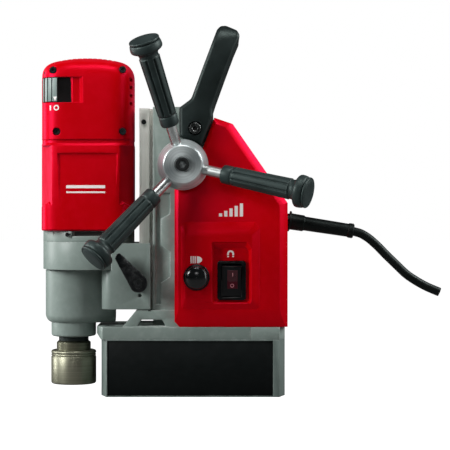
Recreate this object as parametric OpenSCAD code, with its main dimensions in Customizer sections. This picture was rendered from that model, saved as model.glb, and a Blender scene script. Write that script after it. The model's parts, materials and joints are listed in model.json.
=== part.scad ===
// Magnetic drill press: an electromagnet base, a cast column with a
// rack-fed dovetail slide, and a geared drill unit with a quick-change chuck.
// Origin: centre of the magnet underside. +X runs from the drill side to the
// cord side, +Y is the rear, +Z is up. Millimetres.

/* [Magnet base] */
// Length of the magnet base
base_length = 165; // [164:0.5:166]
// Width of the magnet base
base_width = 80; // [78:0.5:82]
// Depth of the coil channels, measured from the underside
channel_depth = 36; // [32:1:38]

/* [Column and slide] */
// Height of the top of the column above the underside
column_top = 259; // [256:1:260]
// Running gap between the slide and its guides
slide_gap = 0.05; // [0.03:0.01:0.08]
// Height of the feed shaft above the underside
feed_z = 206.6; // [205.6:0.2:207.6]

/* [Feed handle] */
// Distance from the feed axis to the outer end of a spoke's knob, along the spoke
spoke_reach = 119.5; // [112:0.5:124]
// Lean of the spokes towards the user, in degrees
spoke_lean = 21.7; // [19:0.1:24]
// Angle of the first spoke, in degrees from +X towards +Z
spoke_angle = 107; // [90:1:120]
// Radius of the bare steel spokes
spoke_r = 4.7; // [4:0.1:5]

/* [Drill unit] */
// Radius of the round gear housing and motor flange
motor_r = 41.5; // [41:0.1:42]
// Running gap of shafts in their bearings and bushes
run_gap = 0.04; // [0.02:0.01:0.08]
// Radius of the cutter shank that the chuck takes (19.05 mm shank)
cutter_r = 9.56; // [9.54:0.01:9.6]
// Outer radius of the chuck sleeve
sleeve_r = 20.5; // [20:0.1:21]

/* [Gears] */
// Teeth on the armature pinion
armature_teeth = 10; // [10:1:10]
// Teeth on the large intermediate gear
mid_big_teeth = 30; // [30:1:30]
// Teeth on the small intermediate pinion
mid_small_teeth = 12; // [12:1:12]
// Teeth on the spindle gear
spindle_teeth = 28; // [28:1:28]
// Teeth on the feed pinion
feed_teeth = 16; // [16:1:16]

/* [Hidden] */

// Facet counts: large rounds, medium rounds, screws and small holes, screw posts
fine = 96;
medium = 48;
coarse = 24;
post_facets = 32;

// Gear proportions; tooth heights are in modules
pressure_angle = 25;
backlash = 0.16;
addendum = 0.8;
dedendum = 1.15;
feed_module = 1.5;
stage1_module = 1.0;
stage2_module = 1.25;

// Axes: feed shaft as [x, z], upright shafts as [x, y]
feed_x = -8.7;
feed_at = [feed_x, feed_z];
feed_pitch_r = feed_module*feed_teeth/2;
motor_x = -95.5;
motor_at = [motor_x, 0];
spindle_x = -109.4;
spindle_at = [spindle_x, 0];
// intermediate axis: where circles of the two centre distances cross
stage1_dist = stage1_module*(armature_teeth + mid_big_teeth)/2;
stage2_dist = stage2_module*(mid_small_teeth + spindle_teeth)/2;
mid_x = (spindle_x + motor_x)/2
  + (stage2_dist*stage2_dist - stage1_dist*stage1_dist)/(2*(motor_x - spindle_x));
mid_y = sqrt(stage1_dist*stage1_dist - (mid_x - motor_x)*(mid_x - motor_x));
mid_at = [mid_x, mid_y];

// Levels where the main castings meet
base_top = 51;
flange_top = 62.1;
gearbox_z = 113;
plate_z = 138;
can_z = 148;
tail_z = 229.5;

// Shaft radii
feed_shaft_r = 7;
spindle_r = 8.5;
spindle_nose_r = 10;
mid_shaft_r = 4;
armature_shaft_r = 5;

// ---------- helpers ----------
module box(x0, x1, y0, y1, z0, z1)
  translate([x0, y0, z0]) cube([x1 - x0, y1 - y0, z1 - z0]);
// cylinders along an axis; "at" holds the other two coordinates in x, y, z order
module cyl_z(at, z0, z1, r, f = fine)
  translate([at[0], at[1], z0]) cylinder(h = z1 - z0, r = r, $fn = f);
module cyl_y(at, y0, y1, r, f = fine)
  translate([at[0], y1, at[1]]) rotate([90, 0, 0]) cylinder(h = y1 - y0, r = r, $fn = f);
module cyl_x(at, x0, x1, r, f = fine)
  translate([x0, at[0], at[1]]) rotate([0, 90, 0]) cylinder(h = x1 - x0, r = r, $fn = f);
module cone_z(at, z0, z1, r1, r2)
  translate([at[0], at[1], z0]) cylinder(h = z1 - z0, r1 = r1, r2 = r2, $fn = fine);
// one cylinder at each point
module cyls_z(points, z0, z1, r, f = coarse) for (at = points) cyl_z(at, z0, z1, r, f);
module cyls_y(points, y0, y1, r, f = coarse) for (at = points) cyl_y(at, y0, y1, r, f);
module cyls_x(points, x0, x1, r, f = coarse) for (at = points) cyl_x(at, x0, x1, r, f);
// outline in X,Z carried from y0 to y1
module prism_y(points, y0, y1)
  translate([0, y1, 0]) rotate([90, 0, 0]) linear_extrude(y1 - y0) polygon(points);
// outline in X,Y carried from z0 to z1
module prism_z(points, z0, z1) translate([0, 0, z0]) linear_extrude(z1 - z0) polygon(points);
// the same shape at y0..y1 behind the centre plane and in front of it
module box_pair(x0, x1, y0, y1, z0, z1)
  for (s = [-1, 1]) box(x0, x1, min(s*y0, s*y1), max(s*y0, s*y1), z0, z1);
module cyl_pair(at, y0, y1, r, f = coarse)
  for (s = [-1, 1]) cyl_y(at, min(s*y0, s*y1), max(s*y0, s*y1), r, f);
module prism_pair(points, y0, y1)
  for (s = [-1, 1]) prism_y(points, min(s*y0, s*y1), max(s*y0, s*y1));
// upright block with a centred, round-cornered plan
module round_box(at, size, r, z0, z1)
  translate([at[0], at[1], z0]) linear_extrude(z1 - z0) {
    square([size[0] - 2*r, size[1]], center = true);
    square([size[0], size[1] - 2*r], center = true);
    for (sx = [-1, 1], sy = [-1, 1])
      translate([sx*(size[0]/2 - r), sy*(size[1]/2 - r)]) circle(r = r, $fn = medium);
  }
// socket head screw along -Z with its head's top at the origin
module socket_screw(head_r, head_h, shank_r, shank_l) difference() {
  union() {
    translate([0, 0, -head_h]) cylinder(h = head_h, r = head_r, $fn = coarse);
    translate([0, 0, -head_h - shank_l]) cylinder(h = shank_l + 0.01, r = shank_r, $fn = coarse);
  }
  translate([0, 0, -head_h*0.6]) cylinder(h = head_h, r = head_r*0.5, $fn = 6);
}
// the same screw with its head up, to the front (-Y) or to the rear (+Y)
module top_screw(at, z, head_r, head_h, shank_r, shank_l)
  translate([at[0], at[1], z]) socket_screw(head_r, head_h, shank_r, shank_l);
module front_screw(at, y, head_r, head_h, shank_r, shank_l)
  translate([at[0], y, at[1]]) rotate([90, 0, 0]) socket_screw(head_r, head_h, shank_r, shank_l);
module rear_screw(at, y, head_r, head_h, shank_r, shank_l)
  translate([at[0], y, at[1]]) rotate([-90, 0, 0]) socket_screw(head_r, head_h, shank_r, shank_l);
// copies spread evenly about the motor axis
module around_motor(count, z, start = 0) for (i = [0:count - 1])
  translate([motor_x, 0, z]) rotate([0, 0, start + i*360/count]) children();

// ---------- gears ----------
function involute(angle) = tan(angle) - angle*PI/180;
function polar(r, angle) = r*[cos(angle), sin(angle)];
// angle from the middle of a tooth to its flank at radius r
function flank(base_r, r, half_tooth) = let (safe_r = max(r, base_r*1.0001))
  half_tooth + (involute(pressure_angle) - involute(acos(base_r/safe_r)))*180/PI;
// involute outline, tooth 0 centred on angle 0
function gear_outline(size, teeth) = let (
    pitch_r = size*teeth/2,
    base_r = pitch_r*cos(pressure_angle),
    tip_r = pitch_r + addendum*size,
    root_r = pitch_r - dedendum*size,
    half_tooth = 90/teeth - (backlash/2)/(2*pitch_r)*180/PI,
    radii = [root_r, max(base_r, root_r + 0.01), (max(base_r, root_r) + pitch_r)/2 + 0.05,
      pitch_r + 0.02, (pitch_r + tip_r)/2, tip_r],
    last = len(radii) - 1)
  [for (i = [0:teeth - 1]) each [
    for (r = radii) polar(r, 360/teeth*i - flank(base_r, r, half_tooth)),
    for (k = [last:-1:0]) polar(radii[k], 360/teeth*i + flank(base_r, radii[k], half_tooth))]];
// size is the gear module
module gear(size, teeth, width, turn)
  rotate([0, 0, turn]) linear_extrude(width) polygon(gear_outline(size, teeth));

// ---------- magnet base ----------
half_length = base_length/2;
half_width = base_width/2;
base_cut = [5.5, 17];             // corner cut in X and Y
channel_outer = [138, 56];        // coil channel, outside and inside
channel_inner = [104, 22];
coil_clear = [1, 1];
coil_z = 9;                       // coil underside and potting top
plate_inset = 3;                  // depth of the side plate recesses
magnet_bolt_at = [for (x = [-74, 74], y = [-18, 18]) [x, y]];
cable_at = [40, 19.5];            // cable passage from the coil up into the column
// plan from x0 to x1 with its corners cut
function cut_plan(x0, cut0, x1, cut1) = [
  [x0, -half_width + cut0[1]], [x0 + cut0[0], -half_width],
  [x1 - cut1[0], -half_width], [x1, -half_width + cut1[1]],
  [x1, half_width - cut1[1]], [x1 - cut1[0], half_width],
  [x0 + cut0[0], half_width], [x0, half_width - cut0[1]]];
module racetrack(z0, z1, size) round_box([0, 0], size, size[1]/2 - 0.5, z0, z1);
module magnet_housing() color("#7d8b85") difference() {
  prism_z(cut_plan(-half_length, base_cut, half_length, base_cut), 0, base_top);
  box_pair(-76.3, 71.4, half_width - plate_inset, half_width + 1, 1, base_top - 1);
  difference() {
    racetrack(-1, channel_depth, channel_outer);
    racetrack(-2, channel_depth + 1, channel_inner);
  }
  cyls_z(magnet_bolt_at, 37, base_top + 1, 3);
  cyl_z(cable_at, channel_depth - 1, base_top + 1, 4, coarse);
}
module magnet_coil() color("#8c4a2a") difference() {
  racetrack(coil_z, channel_depth - 0.5, channel_outer - coil_clear);
  racetrack(coil_z - 1, channel_depth, channel_inner + coil_clear);
}
module coil_potting() color("#20262a") difference() {
  racetrack(0.4, coil_z, channel_outer);
  racetrack(0, coil_z + 1, channel_inner);
}
module magnet_side_plates() color("#1c2222")
  box_pair(-76.2, 71.3, half_width - plate_inset, half_width - 0.8, 1.1, 49.9);
module magnet_bolts() color("#3a3f40")
  for (at = magnet_bolt_at) top_screw(at, 62, 5, 6.5, 3, 18.4);

// ---------- column ----------
column_x0 = -36;
column_x1 = 16;
column_half_w = 30;
foot_half_w = 34;
foot_top = 76.8;
channel_z = 76.9;                 // lower end of the slide channel
nose_x = -86.5;
boss_r = 21.5;                    // front boss of the feed shaft
boss_front = -44;
boss_rear = 34;
bush_r = 14.2;
bush_inner_y = 9.5;
gib_screw_at = [for (z = [110, 170, 232]) [-31.5, z]];
handle_at = [2.1, 239.1];         // bolts of the carrying handle
// outlines in X,Z: foot flange, sloped web, strap slot, cast side pocket
flange_side = [[nose_x, 55.8], [-82.2, base_top], [half_length, base_top],
  [half_length, flange_top], [nose_x, flange_top]];
web = [[-62.9, 62], [-50.7, foot_top], [-24, foot_top], [-24, 62]];
strap_slot = [[-49.5, 63], [-46.2, 68.5], [-27.4, 68.5], [-24.4, 63]];
pocket = [[-33.2, 182], [-20.5, 182], [-20.5, 163], [-28.8, 158.6], [-28.8, 135.2],
  [-20.5, 129], [-20.5, 106.5], [-28.8, 101.2], [-28.8, 82], [-33.2, 82]];
module column_body() {
  // foot flange with the slanted nose
  intersection() {
    prism_y(flange_side, -half_width, half_width);
    prism_z(cut_plan(nose_x, [6, 16], half_length, base_cut), 50, 63);
  }
  prism_pair(web, 24, foot_half_w);
  box(column_x0, column_x1, -foot_half_w, foot_half_w, 62, foot_top);
  // upright
  box(column_x0, column_x1, -column_half_w, column_half_w, 70, column_top);
  // bosses of the feed shaft
  cyl_y(feed_at, boss_front, -29, boss_r);
  cyl_y(feed_at, 29, boss_rear, 20);
}
module column_frame() color("#83918b") difference() {
  flank_gap = slide_gap*1.05;
  column_body();
  // dovetail guide, with room for the gib on the rear flank
  prism_z([[-39.4, -11 - flank_gap], [-26.95, -15.02 - flank_gap], [-26.95, 18.1],
    [-39.4, 14.08]], channel_z, column_top + 1);
  // rack channel and pinion chamber
  box(-27.5, -18.6, -9.2, 9.2, channel_z, column_top + 1);
  cyl_y(feed_at, boss_front - 1, boss_rear + 1, bush_r);
  // hollow behind the slide, and its opening on the cord side
  box(-12, 12, -24, 24, 66, 182);
  box(11, 17, -18, 18, 90, 150);
  prism_pair(strap_slot, 23, foot_half_w + 1);
  // joint line across the front of the flange
  box(51.1, 51.5, -half_width - 1, -half_width + 0.5, 50, 63);
  prism_pair(pocket, 27.8, 31);
  // magnet bolts with counterbores, gib screws, handle bolts, cable passage
  cyls_z(magnet_bolt_at, 50, 63, 3.05);
  cyls_z(magnet_bolt_at, 55.3, 63, 5.2);
  cyls_y(gib_screw_at, 17, 31, 2.5);
  cyl_pair(handle_at, 18, 31, 3);
  cyl_z(cable_at, 50, 63, 4, coarse);
}
module gib_strip() color("#b08d4a") {
  flank_gap = slide_gap*1.1;
  prism_z([[-36, 12.1 + flank_gap], [-27.05, 14.99 + flank_gap], [-27.05, 18.0], [-36, 15.1]],
    84, 256);
}
module gib_screws() color("#3a3f40") for (at = gib_screw_at) difference() {
  cyl_y(at, 17.6, 32.5, 2.5, coarse);
  cyl_y(at, 30, 33, 1.3, 6);
}
module feed_bush(y0, y1, cut0, cut1) difference() {
  cyl_y(feed_at, y0, y1, bush_r);
  cyl_y(feed_at, cut0, cut1, feed_shaft_r + run_gap, medium);
}
module feed_bushes() color("#b8904e") {
  feed_bush(boss_front, -bush_inner_y, boss_front - 1, -9);
  feed_bush(bush_inner_y, boss_rear, 9, boss_rear + 1);
}

// ---------- carrying handle ----------
handle_half_w = 44;
// side view of an arm, in X,Z
arm = [[25.1, 332.6], [21.5, 327.7], [-1.2, 265.8], [-11.8, 258.2], [-11.9, 231.6],
  [8.0, 223.5], [16.8, 245.8], [18.0, 249.7], [17.3, 255], [18.0, 260.5],
  [38.4, 315.2], [41.4, 323], [40, 326.8], [34.9, 330.6]];
// the crossbar follows the top of the arms
crossbar = [arm[0], arm[1], [15.6, 311.6], [34.2, 304], for (i = [10:13]) arm[i]];
module carry_handle() color("#1d2324") difference() {
  union() {
    prism_pair(arm, 30, handle_half_w);
    prism_y(crossbar, -31, 31);
  }
  cyl_pair(handle_at, 29, handle_half_w + 1, 3.05);
  cyl_pair(handle_at, 40, handle_half_w + 1, 6.2, medium);
  // keeps the foot of each arm clear of the feed shaft boss
  cyl_y(feed_at, -45, 45, boss_r + 0.5);
}
module handle_bolts() color("#2a2f30") {
  front_screw(handle_at, -44.6, 5, 4.6, 3, 20);
  rear_screw(handle_at, 44.6, 5, 4.6, 3, 20);
}

// ---------- control housing ----------
shell_half_w = 42;
cord_at = [0, 156.3];             // cord entry, [y, z]
// outlines in X,Z: outside, main hollow, shallower hollow behind the side face
shell = [[-12, 62.3], [84.6, 62.3], [84.6, 172.8], [35.6, 243.3], [19.2, 248.9],
  [-4.8, 186], [-16.3, 186], [-16.3, 67]];
shell_hollow = [[-10.5, 66.3], [81.4, 66.3], [81.4, 171.6], [33.4, 240.2], [21.6, 244.2],
  [1.2, 190], [-13.3, 189], [-13.3, 69.5]];
face_hollow = [[-8, 77], [76.6, 77], [76.6, 169.6], [31.6, 233.4], [24.2, 236.6],
  [5, 189.4], [-12, 188.2], [-12, 77.6]];
// per edge of the outline: bevel width on the face, bevel depth, overrun at the start and end
// (zero width: no bevel)
shell_bevels = [[14.5, 4.2, 8, 8], [7.3, 6, 8, 8], [7.3, 5.6, 8, 8], [5, 4.6, 8, 8],
  [3.4, 3.2, 8, -3], [0, 0, 0, 0], [3.4, 2.8, 0, 8], [3, 3.5, 8, 8]];
post_at = [[24, 72], [76, 72], [76, 140], [34, 222]];
board_at = [[28, 129], [68, 129], [28, 158], [68, 158]];
rocker_x = 34.55;
rocker_z = 103.9;
button_at = [3.4, 106.8];
button_y = -2;                    // shift of the button and its bezel
module edge_cut(start, end, bevel) {
  along = end - start;
  width = bevel[0];
  depth = bevel[1];
  translate([start[0], -shell_half_w, start[1]])
    rotate([0, 90 - atan2(along[1], along[0]), 0])
    translate([0, 0, -bevel[2]]) linear_extrude(norm(along) + bevel[2] + bevel[3])
    polygon([[-1.4*width, -0.4*depth], [0.4*width, 1.4*depth], [2*width, -2*depth]]);
}
// front half; the rear half is its mirror image
module shell_half() difference() {
  prism_y(shell, -shell_half_w, 0);
  for (i = [0:7]) if (shell_bevels[i][0] > 0)
    edge_cut(shell[i], shell[(i + 1) % 8], shell_bevels[i]);
  prism_y(shell_hollow, -36, 1);
  prism_y(face_hollow, -39, -35);
  // room for the column, its foot and the feed shaft boss
  box(-40, column_x1 + 0.2, -column_half_w - 0.1, 1, 60, 260);
  box(-40, column_x1 + 0.2, -foot_half_w - 0.1, 1, 60, 77);
  cyl_y(feed_at, -43, 1, boss_r + 0.7);
  cyl_x(cord_at, 80, 90, 7.1, medium);
}
// box centred on the rocker switch
module rocker_box(half_x, half_z, y0, y1)
  box(rocker_x - half_x, rocker_x + half_x, y0, y1, rocker_z - half_z, rocker_z + half_z);
module control_housing_front() color("#c40012") difference() {
  union() {
    shell_half();
    box(14.5, 54.2, -41, -36, 80.5, 140.5);
    // raised switch panel with sloped borders
    hull() {
      prism_y([[-10, 78.6], [58.6, 78.6], [58.6, 149], [54.5, 154.2], [-10, 154.2]],
        -41.9, -41.5);
      prism_y([[-7.4, 86.6], [52.9, 86.6], [52.9, 144], [50, 147.8], [-7.4, 147.8]],
        -44, -43.9);
    }
    cyls_y(post_at, -39.2, 0, 4.5, post_facets);
    cyls_y(board_at, -39.2, -6, 3);
  }
  cyls_y(post_at, -30, 1, 1.6);
  cyls_y(board_at, -16, -5, 1.1);
  // switch recess, switch opening and button opening
  hull() {
    prism_y([[18.6, 85], [50.4, 85], [50.4, 132.6], [18.6, 132.6]], -39.6, -39.5);
    prism_y([[17.2, 84], [51.8, 84], [51.8, 137], [17.2, 137]], -44.6, -44.5);
  }
  rocker_box(11.15, 16, -43, -30);
  cyl_y(button_at, -46, -30, 8.05, medium);
}
module control_housing_rear() color("#c40012") difference() {
  union() {
    mirror([0, 1, 0]) shell_half();
    cyls_y(post_at, 0, 39.2, 4.5, post_facets);
  }
  cyls_y(post_at, -1, 43, 1.8);
  cyls_y(post_at, 34, 43, 3.4);
  // cooling louvres for the electronics
  for (i = [0:5]) box(36, 68, 38, 43, 84 + 7*i, 87 + 7*i);
}
module housing_screws() color("#3a3f40")
  for (at = post_at) rear_screw(at, 36.8, 3.1, 2.8, 1.6, 44);
module control_board() {
  board_y0 = -6;
  board_y1 = -4.4;
  color("#1f5a3a") difference() {
    box(24, 71.2, board_y0, board_y1, 125, 162);
    cyls_y(board_at, -7, -4, 1.3);
  }
  color("#23272a") {
    box(46, 62, -19, board_y0, 131, 147);
    box(33, 42, -14, board_y0, 133, 146);
  }
  color("#2b4a86") {
    cyl_y([38, 152], -20, board_y0, 4.2, medium);
    cyl_y([50, 153], -17, board_y0, 3.2, medium);
  }
  color("#2f8f4e") box(44, 64, board_y1, 6, 128, 138);
  color("#c9ced0") for (at = board_at) rear_screw(at, -2.2, 2.4, 2.2, 1.1, 8);
}
module rocker_bezel() color("#14181a") difference() {
  union() {
    translate([rocker_x, -39.5, rocker_z]) rotate([90, 0, 0])
      round_box([0, 0], [25.5, 35.2], 2.6, 0, 3.9);
    rocker_box(11.05, 15.9, -39.6, -20);
  }
  rocker_box(8.55, 14.6, -44, -25);
}
module rocker_switch() {
  width = 16.8;
  color("#1b1012") translate([rocker_x - width/2, -40, rocker_z]) rotate([8, 0, 0])
    intersection() {
      rotate([0, 90, 0]) cylinder(h = width, r = 14.3, $fn = fine);
      rotate([90, 0, 90]) linear_extrude(width)
        polygon([[5, -13], [-5.5, -14.5], [-3.4, 0], [-5.5, 14.5], [5, 13]]);
    }
}
module button_bezel() color("#14181a") translate([0, button_y, 0]) difference() {
  union() {
    cyl_y(button_at, -44.4, -42, 11.6, medium);
    cyl_y(button_at, -42.2, -31, 8, medium);
  }
  cyl_y(button_at, -45, -30.5, 6.06, medium);
}
module push_button() {
  cap_r = 10.1;
  color("#0f1214") translate([button_at[0], button_y, button_at[1]]) rotate([90, 0, 0]) union() {
    // cap with a domed face
    rotate_extrude($fn = medium) polygon([[0, 46], [9.3, 47.5], [cap_r, 48.3], [cap_r, 50],
      for (a = [10:10:80]) [cap_r*cos(a), 50 + 4.2*sin(a)], [0, 54.2]]);
    translate([0, 0, 31]) cylinder(h = 16, r = 6, $fn = medium);
  }
}

// ---------- cord ----------
cord_tilt = 98.8;                 // direction of the strain relief, in degrees from +Z
// centre line of the cord, [x, z]
cord = [[86.5, 156.2], [147, 146.9], [158, 142.4], [167, 135.4], [176.4, 126.2],
  [186.4, 116.4], [196.6, 107], [206, 100], [215, 95.3], [227, 90]];
module strain_relief() color("#1d2324") difference() {
  union() {
    cyl_x(cord_at, 76, 87.5, 7, medium);
    cyl_x(cord_at, 77.5, 81.4, 9.5, medium);
    translate([86.5, 0, cord_at[1]]) rotate([0, cord_tilt, 0])
      cylinder(h = 60.5, r1 = 7, r2 = 6, $fn = medium);
  }
  cyl_x(cord_at, 70, 86, 4.1, medium);
  translate([84.5, 0, 156.6]) rotate([0, cord_tilt, 0]) cylinder(h = 70, r = 4.3, $fn = medium);
}
module power_cord() color("#16191b") for (i = [0:len(cord) - 2])
  hull() for (at = [cord[i], cord[i + 1]])
    translate([at[0], 0, at[1]]) sphere(r = 4.05, $fn = 16);

// ---------- slide and rack ----------
rail_screw_at = [for (z = [130, 185, 240]) [0, z]];
stop_at = [-44.4, 245.7];         // set screw in the front edge of the rail
rack_back_x = -27;
// section of the rail in X,Y
rail = [[-48.3, -26], [-39.3, -21.5], [-39.3, -11.04], [-27, -15],
  [-27, 15], [-39.3, 11.04], [-39.3, 21.5], [-48.3, 26]];
rack_pitch = PI*feed_module;
rack_half = rack_pitch/4 - backlash/4;
rack_root_x = feed_x - feed_pitch_r - dedendum*feed_module;
rack_tip_x = feed_x - feed_pitch_r + addendum*feed_module;
rack_root_half = rack_half + dedendum*feed_module*tan(pressure_angle);
rack_tip_half = rack_half - addendum*feed_module*tan(pressure_angle);
module slide_rail() color("#c8cbc9") difference() {
  prism_z(rail, 77, 258);
  cyls_x(rail_screw_at, -49, -26, 2.5);
  cyls_x(rail_screw_at, -49, -43.5, 4.6);
  cyl_y(stop_at, -27, -13, 2.2, coarse);
}
module feed_rack() color("#8f9492") difference() {
  prism_y([[rack_back_x, 111],
    for (n = [-20:9]) each let (tooth_z = feed_z + (n + 0.5)*rack_pitch) [
      [rack_root_x, tooth_z - rack_root_half], [rack_tip_x, tooth_z - rack_tip_half],
      [rack_tip_x, tooth_z + rack_tip_half], [rack_root_x, tooth_z + rack_root_half]],
    [rack_back_x, 255]], -8, 8);
  cyls_x(rail_screw_at, -28, -23.4, 2.5);
}
module rail_screws() color("#34393a") {
  for (at = rail_screw_at) translate([-48.1, at[0], at[1]]) rotate([0, -90, 0])
    socket_screw(4.4, 4.4, 2.5, 20);
  difference() {
    cyl_y(stop_at, -25.2, -13, 2.2, coarse);
    cyl_y(stop_at, -26, -23.2, 1.2, 6);
  }
}

// ---------- feed shaft and handle ----------
groove_r = 6.2;                   // seat of the retaining ring
spoke_start = 10.5;               // inner end of a spoke, from the feed axis
knob_end = spoke_reach - 1.4;     // where the end cap sits
// half sections as [radius, distance along the axis]
hub_section = [[7, 46], [22.6, 46], [22.6, 50], [21.6, 52.2], [18.3, 57.6], [17, 59],
  [17, 63], [16.2, 64], [6.4, 64], [6.4, 60], [7, 60]];
grip_section = [[0, 38.6], [5.6, 38.6], [7.9, 39.8], [8.25, 40.8], [8.25, 47.6],
  [7.6, 48.7], [8.1, 49.7], [9.3, 103.2], [8.7, 103.9], [8.7, 106.6],
  [10.5, 108.8], [13.3, 110.4], [14.4, 112.4], [13.95, 116.6], [13.5, knob_end], [0, knob_end]];
cap_section = [[0, 0], [12.4, 0], [13.4, 0.5], [13.4, 2], [12.4, 2.8], [9, 3.2], [0, 3.4]];
module pinion_shaft() color("#a9adab") difference() {
  union() {
    cyl_y(feed_at, -60, 37, feed_shaft_r, medium);
    translate([feed_x, 9, feed_z]) rotate([90, 0, 0]) gear(feed_module, feed_teeth, 18, 0);
  }
  // retaining ring groove
  difference() {
    cyl_y(feed_at, 34.3, 35.6, feed_shaft_r + 1, medium);
    cyl_y(feed_at, 34, 36, groove_r, medium);
  }
  // hole for the hub screw
  cyl_y(feed_at, -61, -38, 4, coarse);
}
module shaft_retaining_ring() color("#2c3031") difference() {
  cyl_y(feed_at, 34.35, 35.55, 9.6, medium);
  cyl_y(feed_at, 34, 36, groove_r, medium);
  box(feed_x - 1.6, feed_x + 1.6, 34, 36, feed_z - 11, feed_z);
}
// children's +Z runs outwards along each of the three spokes
module each_spoke() for (i = [0:2])
  translate([feed_x, -46.8, feed_z]) rotate([0, -(spoke_angle + 120*i), 0])
    rotate([0, 0, -spoke_lean]) rotate([0, 90, 0]) children();
module feed_hub() color("#b9bebc") difference() {
  translate([feed_x, 0, feed_z]) rotate([90, 0, 0]) rotate_extrude($fn = fine)
    polygon(hub_section);
  each_spoke() translate([0, 0, spoke_start]) cylinder(h = 40, r = spoke_r, $fn = medium);
}
module hub_screw() color("#1c2021") front_screw(feed_at, -67, 6.1, 7, 4, 20);
module feed_spokes() color("#c2c6c4") each_spoke()
  translate([0, 0, spoke_start]) cylinder(h = spoke_reach - 24, r = spoke_r, $fn = medium);
module feed_grips() color("#22282a") each_spoke() difference() {
  rotate_extrude($fn = fine) polygon(grip_section);
  translate([0, 0, 5]) cylinder(h = spoke_reach - 18.5, r = spoke_r, $fn = medium);
  // eight flutes that follow the taper of the grip
  for (k = [0:7]) rotate([0, 0, 45*k]) translate([9.15, 0, 51]) rotate([0, 1.02, 0])
    cylinder(h = 50, r = 1.3, $fn = coarse);
}
module grip_end_caps() color("#2b3233") each_spoke()
  translate([0, 0, knob_end]) rotate_extrude($fn = fine) polygon(cap_section);

// ---------- bracket and gear housings ----------
bracket_z0 = 77.7;
bracket_z1 = 136.7;
bracket_bolt_at = [for (y = [-11, 11], z = [85, 104]) [y, z]];
clamp_at = [-48.2, 101.5];        // axis of the rail clamp, [x, z]
spindle_case_r = 25.5;
mid_case_r = 12.5;
spindle_bearing_r = 17.5;
seal_r = 13.5;
gearbox_screw_at = [[-76.5, -16.5], [-76.5, 16.5],
  [spindle_x - 11.25, -19.5], [spindle_x - 11.25, 19.5]];
plate_screw_at = [for (a = [45:90:315]) motor_at + polar(39.2, a)];
module motor_bracket() color("#7f8e87") difference() {
  union() {
    box(-73, -38, -35, 35, bracket_z0, bracket_z1);
    box(-82, -72, -26, 26, bracket_z0, bracket_z1);
    cyls_z([[-73, -26], [-73, 26]], bracket_z0, bracket_z1, 9, medium);
  }
  // seat of the gear housings
  cyl_z(motor_at, gearbox_z, plate_z, motor_r);
  box(-83, -71.2, -22, 22, 70, 140);
  cyl_z(spindle_at, 70, 140, spindle_case_r + 0.1);
  cyl_z(mid_at, 70, 140, mid_case_r + 0.1);
  // dovetail slot for the rail
  prism_z([[-48.35, -26.081], [-37.9, -20.856], [-37.9, 20.856], [-48.35, 26.081]], 77, 138);
  // clamp stud, stop hole, bolts to the gear housing
  cyl_y(clamp_at, -36, -27.6, 3.05, coarse);
  cyl_y([-47.4, 90.2], -36, -30, 1.7, coarse);
  cyls_x(bracket_bolt_at, -72, -48, 2.5);
  cyls_x(bracket_bolt_at, -56, -48, 4.5);
}
module bracket_bolts() color("#3a3f40") for (at = bracket_bolt_at)
  translate([-50, at[0], at[1]]) rotate([0, 90, 0]) socket_screw(4.25, 6, 2.5, 22);
module gearbox_lower() color("#82918a") difference() {
  union() {
    cyl_z(spindle_at, 70, gearbox_z, spindle_case_r);
    cone_z(spindle_at, 64, 70, 21.6, spindle_case_r);
    cyl_z(spindle_at, 53, 65, 20.2);
    cone_z(spindle_at, 51.5, 53, 18.8, 20.2);
    round_box([-87.6, 0], [32.8, 44], 7, 66, gearbox_z);
    cyl_z(mid_at, 84, gearbox_z, mid_case_r);
  }
  // seal seat, spindle passage, bearing seats and gear chamber
  cyl_z(spindle_at, 50, 57, seal_r);
  cyl_z(spindle_at, 56, 67, 11, medium);
  cyl_z(spindle_at, 66, 96, spindle_bearing_r);
  cyl_z(spindle_at, 95.9, gearbox_z + 1, 19.3);
  // intermediate shaft bore and pinion chamber
  cyl_z(mid_at, 88, 97, mid_shaft_r + run_gap, medium);
  cyl_z(mid_at, 96, gearbox_z + 1, 9.3);
  cyls_z(gearbox_screw_at, 99, gearbox_z + 1, 2);
  cyls_x(bracket_bolt_at, -78.3, -71, 2.5);
}
module gearbox_upper() color("#87968f") difference() {
  cyl_z(motor_at, gearbox_z, plate_z, motor_r);
  cyl_z(motor_at, 116, plate_z + 1, 37);
  cyl_z(mid_at, 112, 117, 9.6);
  cyls_z(gearbox_screw_at, 112, 117, 2);
  cyls_z(plate_screw_at, 126, plate_z + 1, 1.25);
}
module motor_end_plate() color("#95a29c") difference() {
  union() {
    cyl_z(motor_at, plate_z, 147.8, motor_r);
    cyl_z(motor_at, 131, 138.1, 36.9);
  }
  cyl_z(motor_at, 130, 148, 6, medium);
  cyl_z(motor_at, 139.5, 148, 11, medium);
  cyl_z(mid_at, 130, 136, mid_shaft_r + run_gap, medium);
  cyls_z(plate_screw_at, 137, 149, 1.25);
  cyls_z(plate_screw_at, 144, 149, 2.1);
  // air slot and clamp notch under the motor housing
  box(-108, -80.5, -43, -37.5, 143.2, 148);
  box(-114.6, -108.5, -43, -39.6, 141.8, 148);
}
module gearbox_screws() color("#3a3f40") {
  for (at = gearbox_screw_at) top_screw(at, 118.4, 3.4, 2.4, 2, 16);
  for (at = plate_screw_at) top_screw(at, 146, 2, 2, 1.25, 17);
  front_screw([-111.5, 144.6], -41.4, 1.9, 1.8, 1, 0.2);
}

// ---------- motor housing and tail ----------
module motor_can() color("#c00010") difference() {
  round_box(motor_at, [82, 82], 9, can_z, tail_z);
  cyl_z(motor_at, 147, 230, 36.5);
  // flat relief on each corner, run out by a slope near its lower end
  around_motor(4, 0, 45) prism_y([[49.8, 176], [60, 162], [60, 231], [49.8, 231]], -25, 25);
  // shallow panel in the front and rear faces
  box_pair(-122.5, -67.5, 40, 42, 154, 214.5);
}
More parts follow.
